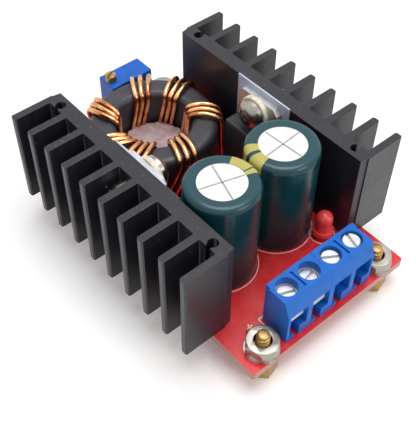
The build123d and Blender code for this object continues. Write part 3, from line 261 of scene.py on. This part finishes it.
NODE_FINISHES = {
    "solder_mask": ["circuit_board"],
    "solder": ["solder_joints"],
    "brass": ["standoffs", "trimmer_screw"],
    "zinc": ["standoff_nuts", "heatsink_screws"],
    "nickel": ["device_screws"],
    "anodised": ["heatsink_left", "heatsink_right"],
    "epoxy": ["mosfet_body", "diode_body"],
    "silicone": ["insulating_pad_left", "insulating_pad_right"],
    "nylon": ["shoulder_washer_left", "shoulder_washer_right"],
    "core_coat": ["toroid_core"],
    "adhesive": ["core_adhesive"],
    "enamel": ["winding_strand_1", "winding_strand_2", "winding_strand_3"],
    "trimmer_blue": ["trimmer_case"],
    "terminal_blue": ["terminal_housing_left", "terminal_housing_right"],
    "lens": ["lamp_lens"],
    "can": ["input_capacitor_can", "output_capacitor_can"],
    "input_sleeve": ["input_capacitor_sleeve"],
    "output_sleeve": ["output_capacitor_sleeve"],
    "bung": ["input_capacitor_seal", "output_capacitor_seal"],
    "tinned": ["mosfet_tab", "diode_tab", "trimmer_pins"],
    "plated_strip": [
        f"{part}_{pole}" for part in ("terminal_frame", "clamp_plate", "clamp_screw") for pole in POLES
    ],
    "chip": ["controller_body", "sense_resistor", "chip_resistors"],
    "ceramic": ["chip_capacitors"],
}
for part in ("mosfet", "diode", "input_capacitor", "output_capacitor", "lamp", "controller"):
    NODE_FINISHES["tinned"].append(part + "_leads")

for finish, names in NODE_FINISHES.items():
    for name in names:
        nodes[name].data.materials.clear()
        nodes[name].data.materials.append(paint[finish])


# Modelling


def metres(*lengths):
    """Lengths in millimetres as the metres that an operator takes."""
    return tuple(length * MM for length in lengths)


def only(piece):
    """Selects one piece alone and makes it active."""
    bpy.ops.object.select_all(action="DESELECT")
    piece.select_set(True)
    bpy.context.view_layer.objects.active = piece


def begin(name, finish):
    """Names the piece just added and gives it its finish."""
    piece = bpy.context.object
    piece.name = piece.data.name = name
    piece.data.materials.clear()
    piece.data.materials.append(paint[finish])
    return piece


def freeze(piece):
    """Puts a piece's place, turn and scale into its mesh."""
    only(piece)
    bpy.ops.object.transform_apply(location=True, rotation=True, scale=True)


def finish_modifier(piece, kind, **settings):
    """Adds a modifier and applies it."""
    only(piece)
    modifier = piece.modifiers.new(kind.lower(), kind)
    for key, value in settings.items():
        setattr(modifier, key, value)
    bpy.ops.object.modifier_apply(modifier=modifier.name)


def soften(piece, width, sharpest=40.0, segments=3):
    """Rounds the edges that turn by more than an angle."""
    limit = {"limit_method": "ANGLE", "angle_limit": math.radians(sharpest)}
    finish_modifier(piece, "BEVEL", width=width * MM, segments=segments, **limit)


def make_lumpy(piece, size, strength, level):
    """Pushes a piece's skin in and out in lumps of about a size."""
    lumps = bpy.data.textures.new(piece.name + "_lumps", "CLOUDS")
    lumps.noise_scale = size * MM
    lumps.noise_depth = 2
    finish_modifier(piece, "DISPLACE", texture=lumps, strength=strength * MM, mid_level=level)


def edit(piece):
    """Opens a piece in edit mode with nothing selected."""
    only(piece)
    bpy.ops.object.mode_set(mode="EDIT")
    bpy.ops.mesh.select_mode(type="FACE")
    bpy.ops.mesh.select_all(action="DESELECT")


def done():
    """Leaves edit mode."""
    bpy.ops.object.mode_set(mode="OBJECT")


def pick_faces(piece, test):
    """Selects the faces whose centre and normal pass a test, in edit mode."""
    done()
    for face in piece.data.polygons:
        face.select = test(face.center, face.normal)
    bpy.ops.object.mode_set(mode="EDIT")


def is_level(centre, normal):
    """Whether a face lies level, at the top or the bottom of an upright form."""
    return abs(normal.z) > 0.9


def is_top(centre, normal):
    """Whether a face lies level and looks up."""
    return normal.z > 0.9


def joined(name, pieces):
    """Several pieces as one."""
    only(pieces[0])
    for piece in pieces[1:]:
        piece.select_set(True)
    bpy.ops.object.join()
    pieces[0].name = pieces[0].data.name = name
    return pieces[0]


def settle(piece, slot, *replaced, body="module", smooth=35.0):
    """Puts a piece's place into its mesh, smooths it, ties it to its body and hides the nodes that it
    replaces. Its slot is not used.
    """
    freeze(piece)
    if smooth:
        bpy.ops.object.shade_smooth_by_angle(angle=math.radians(smooth))
    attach(piece, body)
    if replaced:
        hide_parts(*replaced)


def rounded_copy(node, slot, width):
    """A CAD piece's copy, merged into whole faces, with its sharp edges rounded by a width."""
    piece = bpy.data.objects.new(node + "_rounded", nodes[node].data.copy())
    bpy.context.scene.collection.objects.link(piece)
    edit(piece)
    bpy.ops.mesh.select_all(action="SELECT")
    bpy.ops.mesh.remove_doubles(threshold=0.001 * MM)
    bpy.ops.mesh.dissolve_limited(angle_limit=math.radians(0.4))
    done()
    soften(piece, width)
    bpy.ops.object.shade_smooth_by_angle(angle=math.radians(40))
    finish_modifier(piece, "WEIGHTED_NORMAL", keep_sharp=True)
    settle(piece, slot, node, smooth=None)
    return piece


def cylinder(name, finish, axis, radius, low, high, vertices):
    """An upright cylinder between two heights."""
    bpy.ops.mesh.primitive_cylinder_add(
        vertices=vertices,
        radius=radius * MM,
        depth=(high - low) * MM,
        location=metres(*axis, (low + high) / 2),
    )
    return begin(name, finish)


def block(name, finish, low, high):
    """A block between two corners."""
    middle = [(start + end) / 2 for start, end in zip(low, high)]
    bpy.ops.mesh.primitive_cube_add(size=1.0, location=metres(*middle))
    piece = begin(name, finish)
    piece.scale = metres(*(end - start for start, end in zip(low, high)))
    freeze(piece)
    return piece


def tube(name, finish, runs, diameter, sides=3, fine=5):
    """Round wire along one or more runs of points, as a closed mesh."""
    curve = bpy.data.curves.new(name, "CURVE")
    curve.dimensions = "3D"
    curve.bevel_depth = diameter / 2 * MM
    curve.bevel_resolution = sides
    curve.use_fill_caps = True
    curve.resolution_u = fine
    for run in runs:
        spline = curve.splines.new("NURBS")
        spline.points.add(len(run) - 1)
        for point, place in zip(spline.points, run):
            point.co = (*(Vector(place) * MM), 1.0)
        spline.order_u = 4
        spline.use_endpoint_u = True
    wire = bpy.data.objects.new(name, curve)
    bpy.context.scene.collection.objects.link(wire)
    only(wire)
    bpy.ops.object.convert(target="MESH")
    return begin(name, finish)


# Inductor: the core's lumpy coated ring and three bowed copper wires

CORE_LOW, CORE_HIGH = (corner[2] for corner in box("toroid_core"))
CORE_OUTER, CORE_INNER = 12.0, 7.1
WIRE = 0.95
# How far the wire's centre stands off the core, and how much farther outside the ring
WIRE_REACH, OUTER_SLACK = WIRE / 2 + 0.05, 0.1
WIRE_OUTER = CORE_OUTER + WIRE_REACH + OUTER_SLACK
WIRE_INNER = CORE_INNER - WIRE_REACH
WIRE_LOW, WIRE_HIGH = CORE_LOW - WIRE_REACH, CORE_HIGH + WIRE_REACH
# Where the middle strand crosses the top in each turn, at the ring's outer and inner edge
TURNS = [(-34, -25), (23, 24), (64, 71), (121, 140), (176, 194), (213, 223), (261, 268)]
# From one strand to the next, at the ring's outer and inner edge and at their ends
OUTER_STEP, INNER_STEP, END_STEP = 7.5, 10.0, 14.0
# A bend round the ring's rim: each point's distance in from the edge, its share of the sweep across the
# ring, and its distance back from the wire's level
BEND = ((0.0, 0.0, 1.9), (0.12, 0.0, 0.55), (0.75, 0.12, 0.02))
TOP_BOW = 0.5
# Where each wire comes up from the board, and where it goes down to it again
FIRST_END_HEIGHTS = (2.7, 3.6, 4.8, 6.0, 6.6)
LAST_END_HEIGHTS = (8.0, 6.4, 5.6, 4.4, 3.4, 2.7)


def model_core():
    """A pressed ring: a disc inset and bridged into a ring, its rims bevelled, its coating uneven."""
    core = cylinder("inductor_ring", "core_coat", COIL, CORE_OUTER, CORE_LOW, CORE_HIGH, vertices=120)
    edit(core)
    pick_faces(core, is_level)
    bpy.ops.mesh.inset(thickness=(CORE_OUTER - CORE_INNER) * MM)
    bpy.ops.mesh.bridge_edge_loops()
    bpy.ops.mesh.select_mode(type="EDGE")
    bpy.ops.mesh.select_all(action="DESELECT")
    bpy.ops.mesh.edges_select_sharp(sharpness=math.radians(60))
    bpy.ops.mesh.bevel(offset=1.25 * MM, segments=5, profile=0.5)
    bpy.ops.mesh.select_all(action="SELECT")
    bpy.ops.mesh.normals_make_consistent(inside=False)
    done()
    freeze(core)
    finish_modifier(core, "SUBSURF", subdivision_type="SIMPLE", levels=2, render_levels=2)
    make_lumpy(core, size=3.2, strength=0.16, level=0.62)
    settle(core, "core", "toroid_core")


def strand_points(strand):
    """One wire's run: up from the board, seven turns round the ring's section, and down again."""
    shift = strand - 1
    wander = random.Random(20 + strand)

    def at(radius, angle, height, slack=0.04):
        """A place round the coil, with a little chance in it."""
        radius += wander.uniform(-slack, slack)
        turn = math.radians(angle + wander.uniform(-slack, slack) * 9)
        return (COIL[0] + radius * math.cos(turn), COIL[1] + radius * math.sin(turn), height)

    def over(first, last, start, end, level, side):
        """Across one face of the ring, with tight bends at its rims and, on the top, a bow between them."""
        inward = 1 if last > first else -1
        bow = TOP_BOW if side > 0 else 0.0
        sweep = end - start
        run = []
        for set_in, share, back in BEND:
            run.append(at(first + set_in * inward, start + share * sweep, level - back * side))
        run.append(at((first + last) / 2, (start + end) / 2, level + bow + wander.uniform(-0.08, 0.08) * bow))
        for set_in, share, back in reversed(BEND):
            run.append(at(last - set_in * inward, end - share * sweep, level - back * side))
        return run

    starts = [outer + OUTER_STEP * shift for outer, inner in TURNS]
    ends = [inner + INNER_STEP * shift for outer, inner in TURNS]
    middle = (WIRE_LOW + WIRE_HIGH) / 2
    points = [at(WIRE_OUTER + 0.4, starts[0], height, 0.0) for height in FIRST_END_HEIGHTS]
    points.append(at(WIRE_OUTER + 0.12, starts[0], 9.5))
    for turn, (start, end) in enumerate(zip(starts, ends)):
        points += over(WIRE_OUTER, WIRE_INNER, start, end, WIRE_HIGH, 1)
        if turn + 1 < len(TURNS):
            # Down inside the ring, under it across the middle of the gap between turns, and up outside
            gap = TURNS[turn + 1][0] - TURNS[turn][1]
            drop = end + 0.3 * gap
            rise = starts[turn + 1] - 0.35 * gap
            points.append(at(WIRE_INNER, (end + drop) / 2, middle))
            points += over(WIRE_INNER, WIRE_OUTER, drop, rise, WIRE_LOW, -1)
            points.append(at(WIRE_OUTER, (rise + starts[turn + 1]) / 2, middle))
    last = TURNS[-1][1] + 8.0 + END_STEP * shift
    points.append(at(WIRE_INNER, (ends[-1] + last) / 2, middle))
    points += [at(WIRE_INNER, last, height, 0.0) for height in LAST_END_HEIGHTS]
    return points


def model_windings():
    """The three enamelled wires, wound side by side."""
    for strand in (0, 1, 2):
        wire = tube(f"copper_wire_{strand + 1}", "enamel", [strand_points(strand)], WIRE)
        settle(wire, "enamel", f"winding_strand_{strand + 1}", smooth=60.0)


def model_adhesive():
    """A lumpy puddle of adhesive that fills the foot of the ring and laps round the wires."""
    puddle = cylinder("ring_adhesive", "adhesive", COIL, radius=6.5, low=5.75, high=10.15, vertices=64)
    edit(puddle)
    pick_faces(puddle, is_top)
    bpy.ops.mesh.inset(thickness=1.2 * MM)
    bpy.ops.transform.translate(value=metres(0, 0, -0.3))
    done()
    freeze(puddle)
    finish_modifier(puddle, "REMESH", mode="VOXEL", voxel_size=0.22 * MM)
    make_lumpy(puddle, size=2.0, strength=1.0, level=0.55)
    finish_modifier(puddle, "SMOOTH", factor=0.5, iterations=2)
    settle(puddle, "adhesive", "core_adhesive", smooth=80.0)


# Flat print and foil, a few hundredths of a millimetre thick

PRINT = 0.03
# Outer radius and width of the rings of the print, and of the lands round a lead and under a nut
CAN_RING, LAMP_RING, COIL_RING = (6.95, 0.15), (2.35, 0.14), (13.6, 0.15)
LEAD_LAND, NUT_LAND = (1.32, 0.36), (3.05, 0.5)


def angle_of(place):
    """The angle of a place round its piece's middle, from 0 to 360 degrees."""
    return math.degrees(math.atan2(place.y, place.x)) % 360


def flat_ring(name, finish, centre, radius, width, base, gap=None, thick=PRINT):
    """A flat ring raised to a thin plate, left open between two angles if it has a gap."""
    bpy.ops.mesh.primitive_circle_add(
        vertices=72, radius=radius * MM, fill_type="NGON", location=metres(*centre, base)
    )
    ring = begin(name, finish)
    edit(ring)
    bpy.ops.mesh.select_all(action="SELECT")
    bpy.ops.mesh.inset(thickness=width * MM)
    bpy.ops.mesh.delete(type="FACE")
    if gap:
        pick_faces(ring, lambda centre, normal: gap[0] < angle_of(centre) < gap[1])
        bpy.ops.mesh.delete(type="FACE")
    done()
    finish_modifier(ring, "SOLIDIFY", thickness=thick * MM, offset=1.0)
    return ring


def flat_bar(name, finish, centre, size, base, turn=0.0):
    """A flat bar with rounded corners."""
    bpy.ops.mesh.primitive_plane_add(size=1.0, location=metres(*centre, base))
    bar = begin(name, finish)
    bar.scale = (*metres(*size), 1.0)
    bar.rotation_euler = (0, 0, math.radians(turn))
    freeze(bar)
    edit(bar)
    bpy.ops.mesh.select_all(action="SELECT")
    bpy.ops.mesh.bevel(offset=0.3 * min(size) * MM, segments=2, affect="VERTICES")
    done()
    finish_modifier(bar, "SOLIDIFY", thickness=PRINT * MM, offset=1.0)
    return bar


def print_board():
    """White ink: rings round the cans, the lamp and the coil, outlines, and plus and minus signs."""
    axes = [capacitor["axis"] for capacitor in CAPACITORS.values()]
    marks = [flat_ring("mark", "ink", axis, *CAN_RING, BOARD_TOP) for axis in axes]
    marks.append(flat_ring("mark", "ink", LAMP, *LAMP_RING, BOARD_TOP))
    marks.append(flat_ring("mark", "ink", COIL, *COIL_RING, BOARD_TOP, gap=(60, 300)))
    # Behind and beside the terminals, then in front of and beside the trimmer
    bars = [((0.0, -25.25), (20.4, 0.2))]
    bars += [((side * 10.25, -27.0), (0.2, 3.6)) for side in (-1, 1)]
    bars += [((TRIMMER[0], 27.2), (10.0, 0.18))]
    bars += [((TRIMMER[0] + side * 5.0, 29.4), (0.18, 4.4)) for side in (-1, 1)]
    # Signs beside the terminals
    plus_signs, minus_signs = ((-12.3, -25.4), (12.3, -24.6)), ((-1.6, -24.2), (1.6, -24.2))
    bars += [(centre, (1.1, 0.22)) for centre in (*plus_signs, *minus_signs)]
    bars += [(centre, (0.22, 1.1)) for centre in plus_signs]
    marks += [flat_bar("mark", "ink", centre, size, BOARD_TOP) for centre, size in bars]
    settle(joined("board_print", marks), "board")


def pad_board():
    """Tinned lands under the board round every lead, and above it under the four nuts."""
    places = []
    for x, y in (axis_of("mosfet_leads"), axis_of("diode_leads")):
        places += [(x, y + row * LEAD_PITCH) for row in (-1, 0, 1)]
    for x, y in (capacitor["axis"] for capacitor in CAPACITORS.values()):
        places += [(x + side * CAPACITOR_LEAD_PITCH / 2, y) for side in (-1, 1)]
    places += [(TRIMMER[0] + step * LEAD_PITCH, TRIMMER[1]) for step in (-1, 0, 1)]
    places += [(LAMP[0] + side * LEAD_PITCH / 2, LAMP[1]) for side in (-1, 1)]
    places += [(axis_of(f"clamp_plate_{pole}")[0], TERMINAL_PIN_Y) for pole in POLES]
    below = [flat_ring("land", "solder", place, *LEAD_LAND, BOARD_BOTTOM - PRINT) for place in places]
    settle(joined("lands_below", below), "solder")
    above = [flat_ring("rim", "solder", corner, *NUT_LAND, BOARD_TOP) for corner in CORNERS]
    settle(joined("lands_above", above), "solder")


# Capacitors: painted shade along the vents' grooves, and the sleeves' curled edges

# The depth of a vent's grooves, and the length and width of the painted shade strips in them
VENT_DEPTH, VENT_SHADE_STRIP = 0.12, (7.9, 0.19)
# The curled edge's outer radius and width, its thickness, and how far under the sleeve's top it starts
CURL, CURL_THICK, CURL_DROP = (4.45, 0.3), 0.13, 0.16


def score_cans():
    """The cross of grooves in each can's vent, with strips of painted shade laid at the bottom of its
    grooves.
    """
    for name, capacitor in CAPACITORS.items():
        axis, groove = capacitor["axis"], box(f"{name}_capacitor_can")[1][2] - VENT_DEPTH
        turns = (capacitor["vent"], capacitor["vent"] + 90)
        lines = [flat_bar("line", "vent_groove_shade", axis, VENT_SHADE_STRIP, groove, turn) for turn in turns]
        settle(joined(f"{name}_vent_shade_strips", lines), "can")


def curl_sleeves():
    """The shrunk edge of each sleeve, which curls a little way over the can's end."""
    for name, capacitor in CAPACITORS.items():
        axis, base = capacitor["axis"], box(f"{name}_capacitor_sleeve")[1][2] - CURL_DROP
        curl = flat_ring(f"{name}_sleeve_edge", f"{name}_sleeve", axis, *CURL, base, thick=CURL_THICK)
        soften(curl, 0.05, sharpest=50.0, segments=2)
        settle(curl, "sleeve")


# Fasteners: chamfered nuts, and a fine ridge wound round each threaded tip

NUT_LOW, NUT_HIGH = (corner[2] for corner in box("standoff_nuts"))
NUT_CORNER_RADIUS, NUT_TURNED_RADIUS, NUT_BORE = 3.175, 3.2, 1.6
NUT_TURN = 15.0
STUD_RADIUS, STUD_LOW = 1.0, 6.0
# The photograph shows tall studs in front and none above the coil behind
STUD_HIGH_FRONT, STUD_HIGH_BACK = 9.7, 8.4
# The height of the device screws, and where their threads start and end from the middle of the board
SCREW_HEIGHT, SCREW_THREAD_START, SCREW_THREAD_END = 21.2, 16.9, 19.3
# A ridge's thickness, and how many points draw each of its turns
RIDGE, RIDGE_STEPS = 0.3, 12


def ridge_run(centre, axis, start, end, radii, pitch):
    """Points of a helix about an axis of X or Z, from one place along it and one radius to another."""
    count = int(abs(end - start) / pitch * RIDGE_STEPS)
    run = []
    for step in range(count + 1):
        share = step / count
        along = start + (end - start) * share
        radius = radii[0] + (radii[1] - radii[0]) * share
        turn = 2 * math.pi * step / RIDGE_STEPS
        across = (centre[0] + radius * math.cos(turn), centre[1] + radius * math.sin(turn))
        run.append((*across, along) if axis == "Z" else (along, *across))
    return run


def model_nuts():
    """Hexagon nuts with round chamfers above and below and a threaded hole painted dark as shade."""
    middle = (0, 0)
    nut = cylinder("nut", "zinc", middle, NUT_CORNER_RADIUS, NUT_LOW, NUT_HIGH, vertices=6)
    nut.rotation_euler = (0, 0, math.radians(NUT_TURN))
    freeze(nut)
    turned = cylinder("turned_form", "zinc", middle, NUT_TURNED_RADIUS, NUT_LOW, NUT_HIGH, vertices=96)
    edit(turned)
    pick_faces(turned, is_level)
    bpy.ops.mesh.select_mode(type="EDGE")
    bpy.ops.mesh.bevel(offset=0.5 * MM, segments=1)
    done()
    drill = cylinder("drill", "zinc", middle, NUT_BORE, NUT_LOW - 0.8, NUT_HIGH + 0.8, vertices=64)
    for tool, operation in ((turned, "INTERSECT"), (drill, "DIFFERENCE")):
        freeze(tool)
        finish_modifier(nut, "BOOLEAN", operation=operation, object=tool, solver="EXACT")
        bpy.data.objects.remove(tool)
    soften(nut, 0.07, sharpest=25.0)
    # The bore's wall gets the dark colour of painted shade
    nut.data.materials.append(paint["thread_painted_shade"])
    for face in nut.data.polygons:
        from_axis = math.hypot(face.center.x, face.center.y)
        if from_axis < (NUT_BORE + 0.02) * MM and abs(face.normal.z) < 0.3:
            face.material_index = 1
    nuts = [nut]
    for corner in CORNERS[1:]:
        copy = nut.copy()
        copy.data = nut.data.copy()
        bpy.context.scene.collection.objects.link(copy)
        nuts.append(copy)
    for piece, corner in zip(nuts, CORNERS):
        piece.location = metres(*corner, 0)
    settle(joined("corner_nuts", nuts), "zinc_steel", "standoff_nuts", smooth=30.0)


def model_standoffs():
    """The brass standoffs, each with a slim threaded stud that stands in the nut's wider hole."""
    pillars = rounded_copy("standoffs", "brass", 0.08)
    cut = metres(0, 0, STUD_LOW + 0.2)
    edit(pillars)
    bpy.ops.mesh.select_all(action="SELECT")
    bpy.ops.mesh.bisect(plane_co=cut, plane_no=(0, 0, 1), clear_outer=True, use_fill=True)
    done()
    pieces = [pillars]
    for corner in CORNERS:
        top = STUD_HIGH_FRONT if corner[1] < 0 else STUD_HIGH_BACK
        stud = cylinder("stud", "brass", corner, STUD_RADIUS, STUD_LOW, top, vertices=40)
        edit(stud)
        pick_faces(stud, is_top)
        bpy.ops.mesh.bevel(offset=0.2 * MM, segments=2)
        done()
        ridge = ridge_run(corner, "Z", STUD_LOW + 0.3, top - 0.35, (1.16, 1.08), pitch=0.55)
        pieces += [stud, tube("ridge", "brass", [ridge], RIDGE, sides=2, fine=2)]
    piece = joined("standoffs_threaded", pieces)
    only(piece)
    bpy.ops.object.shade_smooth_by_angle(angle=math.radians(40))


def model_screw_tips():
    """The threads of the two device screws, where their tips stand out between the fins."""
    centre = (axis_of("diode_body")[1], SCREW_HEIGHT)
    tips = []
    for side in (-1, 1):
        start, end = side * SCREW_THREAD_START, side * SCREW_THREAD_END
        tips.append(ridge_run(centre, "X", start, end, (1.5, 1.42), pitch=0.6))
    settle(tube("screw_threads", "nickel", tips, RIDGE, sides=2, fine=2), "zinc_steel", smooth=60.0)


# Terminals and lamp

LIP_WIDTH, LIP_DEPTH = 0.5, 0.75


def model_clamp_jaws():
    """Each clamp's plate, with its front edge bent down into a lip that guides the wire."""
    for pole in POLES:
        low, high = box(f"clamp_plate_{pole}")
        bend = (low[1] + LIP_WIDTH) * MM
        jaw = block(f"clamp_jaw_{pole}", "plated_strip", low, high)
        edit(jaw)
        bpy.ops.mesh.select_all(action="SELECT")
        bpy.ops.mesh.bisect(plane_co=(0, bend, 0), plane_no=(0, 1, 0))
        pick_faces(jaw, lambda centre, normal: normal.z < -0.9 and centre.y < bend)
        bpy.ops.mesh.extrude_region_move(TRANSFORM_OT_translate={"value": metres(0, 0, -LIP_DEPTH)})
        done()
        soften(jaw, 0.14)
        settle(jaw, "zinc_steel", f"clamp_plate_{pole}", body=f"clamp_{pole}")


def model_lamp_frame():
    """The lamp's inner lead posts and its reflector cup."""
    x, y = LAMP
    bpy.ops.mesh.primitive_cone_add(
        vertices=24, radius1=0.35 * MM, radius2=0.75 * MM, depth=0.8 * MM, location=metres(x - 0.45, y, 9.3)
    )
    cup = begin("cup", "tinned")
    edit(cup)
    pick_faces(cup, is_top)
    bpy.ops.mesh.inset(thickness=0.15 * MM)
    bpy.ops.transform.translate(value=metres(0, 0, -0.4))
    done()
    posts = [cup]
    foot, half = box("lamp_lens")[0][2] + 0.1, 0.225
    for left, right, top in ((-1.05, -0.15, 8.95), (0.475, 1.025, 9.4)):
        post = block("post", "tinned", (x + left, y - half, foot), (x + right, y + half, top))
        finish_modifier(post, "BEVEL", width=0.06 * MM, segments=2)
        posts.append(post)
    settle(joined("lamp_reflector", posts), "tinned")


ROUNDED = {
    "heatsink_left": ("heatsink", 0.07),
    "heatsink_right": ("heatsink", 0.07),
    "terminal_housing_left": ("terminal", 0.09),
    "terminal_housing_right": ("terminal", 0.09),
    "trimmer_case": ("trimmer", 0.1),
    "mosfet_body": ("package", 0.12),
    "diode_body": ("package", 0.12),
    "controller_body": ("chip", 0.05),
}
for node, (slot, width) in ROUNDED.items():
    rounded_copy(node, slot, width)
model_core()
model_windings()
print_board()
pad_board()
score_cans()
curl_sleeves()
model_nuts()
model_standoffs()
model_screw_tips()
model_adhesive()
model_clamp_jaws()
model_lamp_frame()


# Floor, light and camera

FLOOR_GLOW = 0.12
SURROUND_LIGHT, SURROUND_SEEN = 0.38, 1.0


def see_rays(tree):
    """One for camera, glossy and transmission rays, and zero for the rays that light the object."""
    path = add_node(tree, "LightPath").outputs
    seen = path["Is Camera Ray"]
    for name in ("Is Glossy Ray", "Is Transmission Ray"):
        seen = add_node(tree, "Math", {0: seen, 1: path[name]}, operation="MAXIMUM").outputs[0]
    return seen


def stand():
    """A pale seamless floor, lifted to white for the camera and kept matt so that it holds the shadow."""
    bpy.ops.mesh.primitive_plane_add(size=4.0, location=metres(0, 0, -0.02))
    floor = bpy.context.object
    floor.name = "floor"
    paper = Finish("floor_white", "f6f6f6", 0.8, Emission_Color=srgb("ffffff"))
    glow = add_node(paper.tree, "MapRange", {"Value": see_rays(paper.tree), "To Max": FLOOR_GLOW})
    feed(paper.surface, {"Emission Strength": glow.outputs["Result"]})
    floor.data.materials.append(paper.material)


def soft_light(name, toward, strength, width, colour="ffffff"):
    """An even light that comes from one direction of the sky, spread over a width in degrees."""
    bpy.ops.object.light_add(type="SUN", location=metres(*toward))
    lamp = bpy.context.object
    lamp.name = name
    lamp.data.energy = strength
    lamp.data.angle = math.radians(width)
    lamp.data.color = srgb(colour)[:3]
    lamp.rotation_mode = "QUATERNION"
    lamp.rotation_quaternion = (-Vector(toward)).to_track_quat("-Z", "Y")


def light():
    """A pale surround, a broad light above and a weaker one in front."""
    world = bpy.data.worlds.new("surround")
    bpy.context.scene.world = world
    world.use_nodes = True
    tree = world.node_tree
    levels = {"Value": see_rays(tree), "To Min": SURROUND_LIGHT, "To Max": SURROUND_SEEN}
    strength = add_node(tree, "MapRange", levels).outputs["Result"]
    feed(tree.nodes["Background"], {"Color": srgb("ffffff"), "Strength": strength})
    soft_light("light_above", (35, 20, 290), strength=2.05, width=42)
    soft_light("light_front", (70, -230, 140), strength=0.75, width=30, colour="fff8f2")


def camera():
    """The photograph's viewpoint, found by fitting known points of the module."""
    azimuth, elevation, roll = (math.radians(a) for a in (-41.304, 48.702, 0.782))
    distance, shift_x, shift_y = 151.257, 0.3287, -1.4793
    flat = math.cos(elevation)
    back = Vector((math.sin(azimuth) * flat, -math.cos(azimuth) * flat, math.sin(elevation)))
    right = Vector((0, 0, 1)).cross(back).normalized()
    up = back.cross(right)
    across = right * math.cos(roll) + up * math.sin(roll)
    above = up * math.cos(roll) - right * math.sin(roll)
    place = across * shift_x + above * shift_y + back * distance + Vector((0, 0, BOARD_TOP))
    bpy.ops.object.camera_add(location=place * MM)
    view = bpy.context.object
    view.name = "photo_camera"
    view.rotation_mode = "QUATERNION"
    view.rotation_quaternion = Matrix((across, above, back)).transposed().to_quaternion()
    view.data.sensor_width = 36.0
    view.data.lens = 68.69
    view.data.clip_start = 0.01
    bpy.context.scene.camera = view


stand()
light()
camera()
bpy.context.scene.view_settings.view_transform = "Standard"
